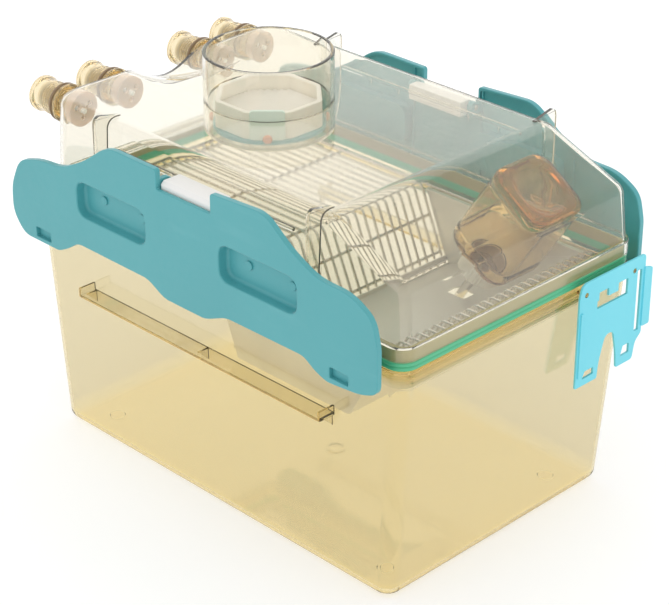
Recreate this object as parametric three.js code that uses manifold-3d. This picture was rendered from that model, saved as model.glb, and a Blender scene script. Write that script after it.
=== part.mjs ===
// Individually ventilated rodent cage: tub, wire lid with hopper, water bottle, ventilated top, latches.
// Millimetres. +Z up, X across the cage, +Y towards the air valves at the rear.
import * as THREE from 'three';
import { mergeVertices } from 'three/addons/utils/BufferGeometryUtils.js';
import Module from 'manifold-3d';

const wasm = await Module();
wasm.setup();

// ---- Driving dimensions ----
const GAP = 0.3;                    // clearance between touching pieces
const WALL = 2.4;                   // moulded wall of tub and lid
const CORNER_STEPS = 5;             // facets per rounded corner
const WELD = 2e-3;                  // vertices closer than this are one

// Tub
const TUB_BASE_Z = 1.2;             // underside of the tub floor, on top of the foot pads
const TUB_HALF_X = 126;             // half width of the tub at its base
const TUB_HALF_Y = 195;             // half length of the tub at its base
const TUB_DRAFT_X = 0.03;           // outward lean of the long walls
const TUB_DRAFT_Y = 0.075;          // outward lean of the short walls
const TUB_CORNER = 20;
const RIM_HALF_X = 134.2;           // outer edge of the tub rim
const RIM_HALF_Y = 214.5;
const RIM_CORNER = 22;
const RIM_UNDER_Z = 203;            // underside of the rim bead
const RIM_TOP_Z = 209.6;
const SHELF_HALF_X = 122.6;         // inner shelf that carries the wire lid
const SHELF_HALF_Y = 201.5;
const SHELF_Z = 205.2;
const RAIL_HALF_Y = 143;            // rack rails on the long walls
const RAIL_OUT_X = 148;
const RAIL_Z = 147.5;
const RAIL_THICK = 2.4;
const FOOT_X = 96;
const FOOT_Y = 165;
const FOOT_R = 7;

// Lid
const LID_PLATE_Z = 227.6;          // underside of the lid flange
const LID_FLANGE_TOP_Z = 230.2;
const LID_SKIRT_Z = 217.6;          // lower edge of the lid skirt
const LID_HALF_X = 129.5;           // lid wall at the flange
const LID_ROOF_HALF_X = 125.4;      // lid wall at the roof
const LID_FRONT_Y = -211.6;
const LID_CREASE_Y = -207.9;
const LID_CREASE_Z = 275;
const LID_ROOF_FRONT_Y = -131;
const LID_ROOF_Z = 307;
const LID_REAR_Y = 200.5;
const LID_ROOF_REAR_Y = 198.7;
const LID_FRONT_CORNER = 11;
const LID_REAR_CORNER = 25;
const LID_EDGE = 8;                 // rounding of the roof edges
const REAR_EDGE_SHARE = 0.35;       // the rear roof edge is this much sharper
const SCOOP_DEPTH = 19;             // dip of the roof behind the collar
const SCOOP_HALF_X = 45;
const SCOOP_LENGTH = 60;

// Filter
const FILTER_Y = 66;
const COLLAR_R = 54;
const COLLAR_WALL = 3.4;
const COLLAR_TOP_Z = 348;
const COLLAR_LOW_Z = 279;
const CARTRIDGE_FLAT_R = 43;        // middle of the cartridge to each of its eight flats
const CARTRIDGE_TOP_Z = 311;
const CARTRIDGE_MOUTH = 39;         // the same for the opening in its top
const MEDIA_TOP_Z = 298;            // top of the filter paper inside the cartridge
const CARTRIDGE_TURN = -45;         // turn of the cartridge in the round collar, in degrees
const FILTER_SEAT_Z = COLLAR_LOW_Z + 3 + GAP;
const SEAT_THICK = 3.6;
const SEAT_R = 46.8;
const CARTRIDGE_LOW_Z = FILTER_SEAT_Z + SEAT_THICK + GAP;
const STUD_Z = 288;                 // studs on the inside of the collar
const STUD_IN_R = 47.2;
const STUD_OUT_R = 50;

// Valves
const VALVE_X = [-101, -51, 51, 101];
const VALVE_Z = 290;
const VALVE_END_Y = 237;
const VALVE_R = 14;
const VALVE_FLANGE_R = 17.2;        // flange at the outer end
const VALVE_BORE = 11.4;            // outer chamber
const SPIGOT_R = 11.7;              // part that passes through the rear wall
const SPIGOT_BORE = 9.6;
const SPIGOT_Y = 184.8;             // inner end of the spigot

// Latches
const LATCH_OUT_X = 153;
const LATCH_SKIN = 3;
const LATCH_RIM_X = 148;            // back of the rim round the latch's plate
const LATCH_IN_X = 141;             // back of the finger pockets and the ears
const LATCH_RIM_WALL = 2.2;
// Outlines of the latch's two halves as (distance from the notch's middle, z, corner reach), from the
// notch outwards and back below. The rear half is the one towards the air valves.
const LATCH_REAR = [
  [30.5, 284, 0.8], [30.5, 300.6, 3], [90, 301, 12], [122, 278, 14], [150, 264.5, 12], [180, 262, 10],
  [207, 254, 11], [219.5, 228, 9], [220.3, 202, 10], [206, 186, 8], [160, 186, 4], [148, 192, 4],
  [134, 201.5, 6], [46, 201, 6], [26, 190.8, 6],
];
const LATCH_FRONT = [
  [31.5, 284, 0.8], [31.5, 301, 3], [91, 304.5, 10], [118, 284, 12], [146, 271, 12], [180, 270.5, 12],
  [202, 258, 9], [207.2, 236, 5], [207.2, 199, 7], [190, 192.5, 8], [156, 189.5, 4], [144, 193.5, 4],
  [131, 201.5, 5], [46, 201, 6], [22, 190.8, 6],
];
const POCKET_SIZE = [85, 31];       // finger pocket, along the latch and upwards
const POCKET_LOW = { '1': [46.5, 228.5], '-1': [-124.5, 231.5] };
const WINDOW_SIZE = [19.4, 9];      // window over the hook
const WINDOW_LOW = { '1': [170, 189.6], '-1': [-178, 194.6] };
const HOOK_MARGIN = 3;              // the hook is this much longer than its window at each end
const PIVOT_X = 141;
const PIVOT_Z = 285;
const BLOCK_HALF_Y = 29.6;
const PIN_HALF_Y = 38;
const PIN_R = 2.2;

// Wire lid and hopper
const GRID_Z = 211;
const BAR = 2.4;
const BAR_PITCH = 9;
const BEND_R = 9;                   // bend of the bars at the hopper's edge
const BAR_COUNT = 27;
const HOPPER_BEND_Y = 9;
const HOPPER_LOW_Z = 151;
const HOPPER_SLOPE = THREE.MathUtils.degToRad(67);
const PAN_Z = 146;
const PAN_SHEET = 1.2;
const PAN_HALF_X = 121.2;

// Bottle
const BOTTLE_BASE = new THREE.Vector3(84, -155, 268);
const BOTTLE_TILT = THREE.MathUtils.degToRad(56.4);
const BOTTLE_HALF = 31;
const BOTTLE_BODY = 88;

// Card holder
const CAGE_FRONT_Y = -224.4;         // front of the card holder's folded edges
const CARD_FRONT_Y = -223;
const CARD_BACK_Y = -221;
const CARD_LEFT_X = 56;
const CARD_RIGHT_X = 146;
const CARD_LOW_Z = 125;
const CARD_TOP_Z = 217;
const PEG_Z = 206.3;
const PEG_X = [64, 124];

// ---- Solids ----
function toSolid(geometry) {
  const bare = geometry.clone();
  for (const name of Object.keys(bare.attributes)) {
    if (name !== 'position') bare.deleteAttribute(name);
  }
  const merged = mergeVertices(bare, 1e-4);
  return new wasm.Manifold(new wasm.Mesh({
    numProp: 3,
    vertProperties: new Float32Array(merged.attributes.position.array),
    triVerts: new Uint32Array(merged.index.array),
  }));
}

// Closed geometry of a solid, with the vertices of very short edges merged and their triangles dropped.
function toGeometry(solid) {
  const mesh = solid.getMesh();
  const raw = new THREE.BufferGeometry();
  raw.setAttribute('position', new THREE.BufferAttribute(new Float32Array(mesh.vertProperties), 3));
  raw.setIndex(new THREE.BufferAttribute(new Uint32Array(mesh.triVerts), 1));
  const geometry = mergeVertices(raw, WELD);
  const index = Array.from(geometry.index.array);
  const kept = [];
  for (let i = 0; i < index.length; i += 3) {
    const [a, b, c] = index.slice(i, i + 3);
    if (a !== b && b !== c && c !== a) kept.push(a, b, c);
  }
  geometry.setIndex(kept);
  geometry.computeVertexNormals();
  return geometry;
}

function joined(solids) {
  return solids.reduce((sum, next) => sum.add(next));
}

function cut(solid, tools) {
  return tools.reduce((rest, tool) => rest.subtract(tool), solid);
}

function box(x0, x1, y0, y1, z0, z1) {
  const geometry = new THREE.BoxGeometry(x1 - x0, y1 - y0, z1 - z0);
  geometry.translate((x0 + x1) / 2, (y0 + y1) / 2, (z0 + z1) / 2);
  return toSolid(geometry);
}

// Outline in the plane across the axis, extruded from low to high along X, Y or Z.
// The outline's pairs are (y, z) for X, (x, z) for Y and (x, y) for Z.
function prism(shape, axis, low, high, steps = CORNER_STEPS) {
  const options = { depth: high - low, bevelEnabled: false, curveSegments: steps };
  const geometry = new THREE.ExtrudeGeometry(shape, options);
  geometry.translate(0, 0, low);
  const turn = new THREE.Matrix4();
  if (axis === 'X') turn.set(0, 0, 1, 0, 1, 0, 0, 0, 0, 1, 0, 0, 0, 0, 0, 1);
  if (axis === 'Y') turn.set(1, 0, 0, 0, 0, 0, -1, 0, 0, 1, 0, 0, 0, 0, 0, 1);
  geometry.applyMatrix4(turn);
  if (axis === 'Y') geometry.translate(0, low + high, 0);
  return toSolid(geometry);
}

function outline(points) {
  return new THREE.Shape(points.map(([a, b]) => new THREE.Vector2(a, b)));
}

function roundedPath(points, radius) {
  const shape = new THREE.Shape();
  const count = points.length;
  for (let i = 0; i < count; i += 1) {
    const before = new THREE.Vector2(...points[(i + count - 1) % count]);
    const corner = new THREE.Vector2(...points[i]);
    const after = new THREE.Vector2(...points[(i + 1) % count]);
    const size = points[i][2] ?? radius;
    const enter = corner.clone().add(before.sub(corner).setLength(size));
    const leave = corner.clone().add(after.sub(corner).setLength(size));
    if (i === 0) shape.moveTo(enter.x, enter.y);
    else shape.lineTo(enter.x, enter.y);
    if (size > 0) shape.quadraticCurveTo(corner.x, corner.y, leave.x, leave.y);
  }
  shape.closePath();
  return shape;
}

// Solid of revolution about +Z; pairs are (radius, height) and start and end on the axis or close.
function turned(pairs, segments) {
  const points = pairs.map(([r, z]) => new THREE.Vector2(r, z));
  const geometry = new THREE.LatheGeometry(points, segments);
  geometry.rotateX(Math.PI / 2);
  return toSolid(geometry);
}

function ringPairs(inner, outer, low, high) {
  return [[inner, low], [outer, low], [outer, high], [inner, high], [inner, low]];
}

function rodPairs(radius, low, high) {
  return [[0, low], [radius, low], [radius, high], [0, high]];
}

// Turned solid whose axis runs along +Y from the given start.
function turnedY(pairs, segments, x, z) {
  return turned(pairs, segments).rotate([-90, 0, 0]).translate([x, 0, z]);
}

// Rounded rectangle loop at height z. Front corners are at the -Y side.
function loop(halfX, frontY, rearY, frontR, rearR, z) {
  const points = [];
  const corners = [
    [halfX - rearR, rearY - rearR, rearR, 0],
    [-halfX + rearR, rearY - rearR, rearR, 90],
    [-halfX + frontR, frontY + frontR, frontR, 180],
    [halfX - frontR, frontY + frontR, frontR, 270],
  ];
  for (const [x, y, r, start] of corners) {
    for (let i = 0; i <= CORNER_STEPS; i += 1) {
      const angle = THREE.MathUtils.degToRad(start + (90 * i) / CORNER_STEPS);
      points.push(new THREE.Vector3(x + r * Math.cos(angle), y + r * Math.sin(angle), z));
    }
  }
  return points;
}

// Closed body through equal loops, from the first loop's cap to the last loop's cap.
function loft(loops, closed = false) {
  const size = loops[0].length;
  const positions = loops.flat().flatMap((point) => [point.x, point.y, point.z]);
  const faces = [];
  const bands = closed ? loops.length : loops.length - 1;
  for (let band = 0; band < bands; band += 1) {
    const low = band * size;
    const high = ((band + 1) % loops.length) * size;
    for (let i = 0; i < size; i += 1) {
      const next = (i + 1) % size;
      faces.push(low + i, low + next, high + next, low + i, high + next, high + i);
    }
  }
  if (!closed) {
    const last = (loops.length - 1) * size;
    for (let i = 1; i < size - 1; i += 1) {
      faces.push(0, i + 1, i, last, last + i, last + i + 1);
    }
  }
  const geometry = new THREE.BufferGeometry();
  geometry.setAttribute('position', new THREE.BufferAttribute(new Float32Array(positions), 3));
  geometry.setIndex(faces);
  return toSolid(geometry);
}

// ---- Tub ----
function tubLoop(z, inset, corner) {
  const halfX = TUB_HALF_X + TUB_DRAFT_X * z - inset;
  const halfY = TUB_HALF_Y + TUB_DRAFT_Y * z - inset;
  return loop(halfX, -halfY, halfY, corner, corner, z);
}

function rectLoop(halfX, halfY, corner, z) {
  return loop(halfX, -halfY, halfY, corner, corner, z);
}

function tubShell() {
  const floor = TUB_BASE_Z;
  const innerCorner = TUB_CORNER - WALL;
  return loft([
    tubLoop(floor, 9, TUB_CORNER - 5),
    tubLoop(floor + 2.6, 2.7, TUB_CORNER - 2),
    tubLoop(floor + 9, 0, TUB_CORNER),
    tubLoop(196, 0, TUB_CORNER),
    rectLoop(132.6, 211.2, TUB_CORNER, 199.5),
    rectLoop(132.6, 211.2, TUB_CORNER, RIM_UNDER_Z),
    rectLoop(RIM_HALF_X, RIM_HALF_Y, RIM_CORNER, RIM_UNDER_Z + 0.4),
    rectLoop(RIM_HALF_X, RIM_HALF_Y, RIM_CORNER, RIM_TOP_Z),
    rectLoop(129.9, 208.6, TUB_CORNER - 2, RIM_TOP_Z),
    rectLoop(129.4, 208.2, TUB_CORNER - 2, SHELF_Z),
    rectLoop(SHELF_HALF_X, SHELF_HALF_Y, TUB_CORNER - 7, SHELF_Z),
    rectLoop(SHELF_HALF_X, SHELF_HALF_Y, TUB_CORNER - 7, SHELF_Z - 2.4),
    tubLoop(195, WALL, innerCorner),
    tubLoop(floor + 9, WALL, innerCorner),
    tubLoop(floor + 4.2, 4.4, innerCorner - 1),
    tubLoop(floor + 2.6, 10.5, innerCorner - 5),
  ]);
}

// Rack rail on a long wall: thin shelf, raised lips at both ends, gusset ribs below.
function rackRail(side) {
  const wallX = TUB_HALF_X + TUB_DRAFT_X * RAIL_Z - 1.2;
  const span = (x0, x1) => (side > 0 ? [x0, x1] : [-x1, -x0]);
  const [shelf0, shelf1] = span(wallX, RAIL_OUT_X);
  const parts = [
    box(shelf0, shelf1, -RAIL_HALF_Y, RAIL_HALF_Y, RAIL_Z, RAIL_Z + RAIL_THICK),
  ];
  for (const end of [-1, 1]) {
    const y = end * (RAIL_HALF_Y - 1.1);
    parts.push(box(shelf0, shelf1, y - 1.1, y + 1.1, RAIL_Z, RAIL_Z + 8.5));
  }
  for (const y of [-RAIL_HALF_Y + 3, 0, RAIL_HALF_Y - 3]) {
    const rib = roundedPath([[side * wallX, RAIL_Z + 0.5, 0], [side * (RAIL_OUT_X - 5), RAIL_Z + 0.5, 0],
      [side * wallX, RAIL_Z - 11, 0]], 0);
    parts.push(prism(rib, 'Y', y - 0.9, y + 0.9));
  }
  return joined(parts);
}

function tubFeet() {
  const feet = [];
  for (const x of [-FOOT_X, FOOT_X]) {
    for (const y of [-FOOT_Y, FOOT_Y]) {
      feet.push(turned(rodPairs(FOOT_R, 0, TUB_BASE_Z + 1), 16).translate([x, y, 0]));
    }
  }
  return joined(feet);
}

function cardPegs() {
  const pegs = PEG_X.map((x) => turnedY(rodPairs(1.9, CARD_FRONT_Y - 0.2, -RIM_HALF_Y + 5), 10, x, PEG_Z));
  return joined(pegs);
}

function baseTub() {
  return joined([tubShell(), rackRail(-1), rackRail(1), tubFeet(), cardPegs()]);
}

// ---- Gasket ----
function rimGasket() {
  const low = RIM_TOP_Z + GAP;
  const step = 216.9;
  const high = LID_PLATE_Z - GAP;
  return loft([
    rectLoop(RIM_HALF_X - 0.5, RIM_HALF_Y - 0.5, RIM_CORNER, low),
    rectLoop(RIM_HALF_X - 0.5, RIM_HALF_Y - 0.5, RIM_CORNER, step),
    rectLoop(131.4, 211.8, RIM_CORNER - 2, step),
    rectLoop(131.4, 211.8, RIM_CORNER - 2, high),
    rectLoop(127.6, 208, RIM_CORNER - 4, high),
    rectLoop(127.6, 208, RIM_CORNER - 4, low),
  ], true);
}

// ---- Lid ----
function lidLoop(z, inset, roundIn) {
  const rise = (z - LID_FLANGE_TOP_Z) / (LID_ROOF_Z - LID_FLANGE_TOP_Z);
  const halfX = THREE.MathUtils.lerp(LID_HALF_X, LID_ROOF_HALF_X, rise) - inset - roundIn;
  const rear = THREE.MathUtils.lerp(LID_REAR_Y, LID_ROOF_REAR_Y, rise) - inset - roundIn * REAR_EDGE_SHARE;
  const corners = [LID_FRONT_CORNER, LID_REAR_CORNER].map((r) => Math.max(r - inset - roundIn, 2));
  return loop(halfX, LID_FRONT_Y + inset, rear, corners[0], corners[1], z);
}

// Body bounded by the lid's side and rear walls, with rounded roof edges.
function lidTower(inset, lowZ) {
  const top = LID_ROOF_Z - inset;
  const edge = LID_EDGE - inset * 0.6;
  const loops = [lidLoop(lowZ, inset, 0)];
  for (const step of [0, 1, 2, 3, 4]) {
    const angle = (Math.PI / 2) * (step / 4);
    loops.push(lidLoop(top - edge + edge * Math.sin(angle), inset, edge * (1 - Math.cos(angle))));
  }
  return loft(loops);
}

// Side view of the lid: upright front, sloped front window and flat roof.
function lidSide(inset, lowZ) {
  const shape = roundedPath([
    [LID_FRONT_Y + inset, lowZ, 0],
    [LID_REAR_Y + 30, lowZ, 0],
    [LID_REAR_Y + 30, LID_ROOF_Z - inset, 0],
    [LID_ROOF_FRONT_Y + inset * 0.2, LID_ROOF_Z - inset, 10],
    [LID_CREASE_Y + inset, LID_CREASE_Z - inset * 0.7, 9],
  ], 0);
  return prism(shape, 'X', -LID_HALF_X - 5, LID_HALF_X + 5, 4);
}

// Hollow that dips the roof behind the collar, as a sloped wedge with a rounded plan.
function scoopCutter(drop) {
  const start = LID_ROOF_REAR_Y - SCOOP_LENGTH;
  const loops = [];
  for (const step of [0, 1, 2, 3, 4, 5]) {
    const t = step / 5;
    const y = THREE.MathUtils.lerp(start, LID_REAR_Y + 12, t);
    const depth = SCOOP_DEPTH * Math.sin((Math.PI / 2) * t);
    const points = [];
    for (let i = 0; i <= 8; i += 1) {
      const s = -1 + i / 4;
      const dip = depth * (0.5 + 0.5 * Math.cos(Math.PI * s));
      points.push(new THREE.Vector3(s * (SCOOP_HALF_X + 10), y, LID_ROOF_Z + 0.5 - dip - drop));
    }
    points.push(new THREE.Vector3(SCOOP_HALF_X + 10, y, LID_ROOF_Z + 14));
    points.push(new THREE.Vector3(-SCOOP_HALF_X - 10, y, LID_ROOF_Z + 14));
    loops.push(points.reverse());
  }
  return loft(loops);
}

function lidBody(inset, lowZ) {
  const body = lidTower(inset, lowZ).intersect(lidSide(inset, lowZ));
  return body.subtract(scoopCutter(inset));
}

function lidFlange() {
  return loft([
    rectLoop(RIM_HALF_X, RIM_HALF_Y, RIM_CORNER, LID_SKIRT_Z),
    rectLoop(RIM_HALF_X, RIM_HALF_Y, RIM_CORNER, LID_FLANGE_TOP_Z - 0.8),
    rectLoop(RIM_HALF_X - 0.8, RIM_HALF_Y - 0.8, RIM_CORNER, LID_FLANGE_TOP_Z),
  ]);
}

// Space for the gasket between the skirt and the lid's opening.
function gasketChannel() {
  return loft([
    rectLoop(132, 212.3, RIM_CORNER - 2, LID_SKIRT_Z - 1),
    rectLoop(132, 212.3, RIM_CORNER - 2, LID_PLATE_Z),
  ]);
}

// Stacking fin on the side of the lid, rising above the roof edge.
function lidFin(side, y) {
  const fin = outline([
    [side * 126, LID_PLATE_Z + 1], [side * 132.5, LID_PLATE_Z + 1], [side * 137, 244], [side * 139, 262],
    [side * 139, 306.5], [side * 137.6, 310.8], [side * 134, 312.4], [side * 112, 307.6], [side * 112, 304.9],
    [side * 119, 304.9], [side * 124.2, 300],
  ]);
  return prism(fin, 'Y', y - 1.5, y + 1.5);
}

// Rail that carries a hinge block, with ribs below it.
function hingeRail(side) {
  const span = (x0, x1) => (side > 0 ? [x0, x1] : [-x1, -x0]);
  const [rail0, rail1] = span(125, 129);
  const parts = [box(rail0, rail1, -96, 108, 283.5, 286)];
  for (const y of [-73, -40, 40, 73]) {
    const rib = outline([[side * 125.4, 284], [side * 128.6, 284], [side * 126.6, 274]]);
    parts.push(prism(rib, 'Y', y - 1, y + 1));
  }
  return joined(parts);
}

function lidShell() {
  const outside = lidBody(0, LID_PLATE_Z + 1).add(lidFlange());
  const walls = cut(outside, [gasketChannel(), lidBody(WALL, LID_PLATE_Z - 1)]);
  const collar = turned(rodPairs(COLLAR_R, COLLAR_LOW_Z, COLLAR_TOP_Z), 40).translate([0, FILTER_Y, 0]);
  const bore = turned(rodPairs(COLLAR_R - COLLAR_WALL, COLLAR_LOW_Z + 3, COLLAR_TOP_Z + 1), 40);
  const mouth = turned(rodPairs(40, COLLAR_LOW_Z - 1, COLLAR_LOW_Z + 4), 24);
  const holes = [bore.translate([0, FILTER_Y, 0]), mouth.translate([0, FILTER_Y, 0])];
  for (const x of VALVE_X) {
    holes.push(turnedY(rodPairs(SPIGOT_R + GAP, 190, 210), 16, x, VALVE_Z));
  }
  const extras = [-1, 1].flatMap((side) => [lidFin(side, 122), lidFin(side, -122), hingeRail(side)]);
  return cut(joined([walls, collar, ...extras]), holes);
}

// ---- Filter ----
function octagon(flatR, low, high) {
  return turned(rodPairs(flatR / Math.cos(Math.PI / 8), low, high), 8).rotate([0, 0, 22.5]);
}

function filterSeat() {
  const seat = turned(ringPairs(41, SEAT_R, FILTER_SEAT_Z, FILTER_SEAT_Z + SEAT_THICK), 24);
  return seat.translate([0, FILTER_Y, 0]);
}

// Puts a solid built about the Z axis into the collar, turned with the cartridge.
function inCollar(solid, angle = CARTRIDGE_TURN) {
  return solid.rotate([0, 0, angle]).translate([0, FILTER_Y, 0]);
}

function filterHousing() {
  const wall = 2;
  const shell = octagon(CARTRIDGE_FLAT_R, CARTRIDGE_LOW_Z, CARTRIDGE_TOP_Z);
  const hollow = octagon(CARTRIDGE_FLAT_R - wall, CARTRIDGE_LOW_Z - 1, CARTRIDGE_TOP_Z - wall);
  const mouth = octagon(CARTRIDGE_MOUTH, CARTRIDGE_TOP_Z - wall - 1, CARTRIDGE_TOP_Z + 1);
  return inCollar(cut(shell, [hollow, mouth]));
}

function filterMedia() {
  return inCollar(octagon(CARTRIDGE_FLAT_R - 2.4, CARTRIDGE_LOW_Z + 0.4, MEDIA_TOP_Z));
}

function filterClip() {
  const top = CARTRIDGE_TOP_Z + 2.5;
  const tab = roundedPath([[-14, CARTRIDGE_LOW_Z, 0], [14, CARTRIDGE_LOW_Z, 0], [14, top], [-14, top]], 4);
  return inCollar(prism(tab, 'Y', -CARTRIDGE_FLAT_R - 3.4, -CARTRIDGE_FLAT_R - GAP));
}

function filterStud(angle) {
  const pairs = [
    [0, -STUD_OUT_R], [3, -STUD_OUT_R], [3.8, -STUD_OUT_R + 1.4], [3.8, -STUD_IN_R], [0, -STUD_IN_R],
  ];
  return inCollar(turnedY(pairs, 12, 0, STUD_Z), angle);
}

// ---- Valves ----
function valveBody(x) {
  const pairs = [
    [SPIGOT_BORE, SPIGOT_Y], [SPIGOT_R, SPIGOT_Y], [SPIGOT_R, 201.4], [17, 201.4], [17, 204.4],
    [VALVE_R, 204.4], [VALVE_R, 231.4], [VALVE_FLANGE_R, 233], [VALVE_FLANGE_R, VALVE_END_Y],
    [VALVE_BORE, VALVE_END_Y], [VALVE_BORE, 206], [SPIGOT_BORE, 206], [SPIGOT_BORE, SPIGOT_Y],
  ];
  return turnedY(pairs, 16, x, VALVE_Z);
}

function valveRing(x) {
  const inner = VALVE_R + 0.4;
  return turnedY([[inner, 206.5], [inner + 2, 208], [inner, 209.5], [inner, 206.5]], 16, x, VALVE_Z);
}

// Nut on the inner end, with a drilled web and a bore that guides the poppet's stem.
function valveRetainer(x) {
  const bore = SPIGOT_R + GAP;
  const pairs = [
    [2.6, 182], [14.2, 182], [14.2, 191.6], [bore, 191.6], [bore, 184.4], [2.6, 184.4], [2.6, 182],
  ];
  const drill = turned(rodPairs(2.6, 181, 186), 8).translate([6.6, 0, 0]);
  const drills = [30, 150, 270].map((angle) => drill.rotate([0, 0, angle]));
  return cut(turned(pairs, 16), drills).rotate([-90, 0, 0]).translate([x, 0, VALVE_Z]);
}

function valvePoppet(x) {
  const pairs = [[0, 179], [2.2, 179], [2.2, 226.4], [10.8, 227.6], [10.8, 230], [0, 231]];
  return turnedY(pairs, 16, x, VALVE_Z);
}

function valveSpring(x) {
  return turnedY(ringPairs(7.4, 9.2, SPIGOT_Y, 226.3), 12, x, VALVE_Z);
}

// ---- Latches ----
// One half of the latch's outline, moved inwards by a distance; end is 1 for the rear, -1 for the front.
function latchHalf(end, shrink) {
  const middleZ = 246;
  const lowest = 40;
  const half = end > 0 ? LATCH_REAR : LATCH_FRONT;
  return half.map(([y, z, reach]) => [
    end * (y > lowest ? y - shrink : y + shrink), z > middleZ ? z - shrink : z + shrink, reach,
  ]);
}

function latchShape(shrink) {
  return roundedPath([...latchHalf(1, shrink), ...latchHalf(-1, shrink).reverse()], 4);
}

function pocketShape(end, grow) {
  const [y, z] = POCKET_LOW[end];
  const [y0, y1] = [y - grow, y + POCKET_SIZE[0] + grow];
  const [z0, z1] = [z - grow, z + POCKET_SIZE[1] + grow];
  return roundedPath([[y0, z0], [y1, z0], [y1, z1], [y0, z1]], 9);
}

// The latch is built for the +X side: x rises outwards.
function latchPlate() {
  const skin = LATCH_OUT_X - LATCH_SKIN;
  let latch = prism(latchShape(0), 'X', LATCH_RIM_X, LATCH_OUT_X, 2);
  latch = latch.subtract(prism(latchShape(LATCH_RIM_WALL), 'X', LATCH_RIM_X - 1, skin, 2));
  for (const end of [-1, 1]) {
    const cup = prism(pocketShape(end, 2), 'X', LATCH_IN_X + 0.6, LATCH_OUT_X - 0.1, 2);
    latch = latch.add(cup).subtract(prism(pocketShape(end, 0), 'X', LATCH_IN_X + 2.6, LATCH_OUT_X + 1, 2));
    latch = latch.add(latchHook(end)).subtract(latchWindow(end));
    latch = latch.add(latchEar(end));
  }
  return latch.subtract(box(LATCH_RIM_X - 1, skin, -BLOCK_HALF_Y - 0.6, BLOCK_HALF_Y + 0.6, 276, 292));
}

function latchWindow(end) {
  const [y, z] = WINDOW_LOW[end];
  const skin = LATCH_OUT_X - LATCH_SKIN;
  return box(skin - 1, LATCH_OUT_X + 1, y, y + WINDOW_SIZE[0], z, z + WINDOW_SIZE[1]);
}

// Hook arm below the rim: a shelf from the skin to just outside the rim's edge.
function latchHook(end) {
  const y = WINDOW_LOW[end][0];
  const root = LATCH_OUT_X - LATCH_SKIN + 1;
  const tip = RIM_HALF_X + 0.6;
  const hook = outline([[tip, 199.5], [138, 195.2], [root, 195.2], [root, 197.4], [142, 197.4], [138.5, 202],
    [tip, 202]]);
  return prism(hook, 'Y', y - HOOK_MARGIN, y + WINDOW_SIZE[0] + HOOK_MARGIN);
}

// Ear that the hinge pin passes through, beside the notch.
function latchEar(end) {
  const [y0, y1] = end > 0 ? [31, 36] : [-37, -32];
  const root = LATCH_OUT_X - LATCH_SKIN + 1;
  const radius = 6;
  const ear = new THREE.Shape();
  ear.moveTo(root, PIVOT_Z - radius);
  ear.lineTo(PIVOT_X, PIVOT_Z - radius);
  ear.absarc(PIVOT_X, PIVOT_Z, radius, -Math.PI / 2, Math.PI / 2, true);
  ear.lineTo(root, PIVOT_Z + radius);
  ear.closePath();
  const bore = turnedY(rodPairs(PIN_R + 0.15, y0 - 1, y1 + 1), 12, PIVOT_X, PIVOT_Z);
  return prism(ear, 'Y', y0, y1, 8).subtract(bore);
}

function hingeBlock() {
  const out = LATCH_OUT_X - LATCH_SKIN - 1;
  const body = roundedPath([[129.4, 277, 0], [out - 0.4, 277, 2], [out, 290.4, 2.6], [129.4, 290.4, 0]], 0);
  const bore = turnedY(rodPairs(PIN_R + 0.1, -BLOCK_HALF_Y - 1, BLOCK_HALF_Y + 1), 12, PIVOT_X, PIVOT_Z);
  return prism(body, 'Y', -BLOCK_HALF_Y, BLOCK_HALF_Y).subtract(bore);
}

function hingePin() {
  return turnedY(rodPairs(PIN_R, -PIN_HALF_Y, PIN_HALF_Y), 12, PIVOT_X, PIVOT_Z);
}

// ---- Wire lid ----
// Side view of one bar: flat, then bent down as the hopper's rear wall.
function barShape(rearY) {
  const half = BAR / 2;
  const turn = HOPPER_SLOPE;
  const upper = [];
  const lower = [];
  const centreY = HOPPER_BEND_Y;
  const centreZ = GRID_Z - BEND_R;
  for (let i = 0; i <= 3; i += 1) {
    const angle = Math.PI / 2 + (turn * i) / 3;
    upper.push([centreY + (BEND_R + half) * Math.cos(angle), centreZ + (BEND_R + half) * Math.sin(angle)]);
    lower.push([centreY + (BEND_R - half) * Math.cos(angle), centreZ + (BEND_R - half) * Math.sin(angle)]);
  }
  const [endY, endZ] = upper[3];
  const run = (endZ - HOPPER_LOW_Z) / Math.sin(turn);
  const dy = -Math.cos(turn) * run;
  const dz = -Math.sin(turn) * run;
  const tail = [[endY + dy, endZ + dz], [lower[3][0] + dy, lower[3][1] + dz]];
  return outline([[rearY, GRID_Z - half], [rearY, GRID_Z + half], ...upper, ...tail, ...lower.reverse()]);
}

// Middle of the sloping bars at height z.
function barEndY(z) {
  const bendY = HOPPER_BEND_Y - BEND_R * Math.sin(HOPPER_SLOPE);
  const bendZ = GRID_Z - BEND_R * (1 - Math.cos(HOPPER_SLOPE));
  return bendY - (bendZ - z) / Math.tan(HOPPER_SLOPE);
}

function wireLid() {
  const half = BAR / 2;
  const rear = 192;
  const side = 124.6;
  const front = -186;
  const parts = [];
  for (let i = 0; i < BAR_COUNT; i += 1) {
    const x = (i - (BAR_COUNT - 1) / 2) * BAR_PITCH;
    parts.push(prism(barShape(rear), 'X', x - half, x + half));
  }
  const low = GRID_Z - half - 2.4;
  const high = GRID_Z - half + 0.4;
  for (const y of [rear - 2, 100, HOPPER_BEND_Y + 2]) {
    parts.push(box(-side, side, y - 1.4, y + 1.4, low, high));
  }
  parts.push(box(-side, side, front, front + 3, low, high));
  for (const x of [-side, side]) parts.push(box(x - 1.6, x + 1.6, front, rear, SHELF_Z + GAP, high));
  for (const z of [184, HOPPER_LOW_Z + 2]) {
    const y = barEndY(z);
    parts.push(box(-118.6, 118.6, y + 0.8, y + 3.4, z - 1.3, z + 1.3));
  }
  return joined(parts);
}

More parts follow.
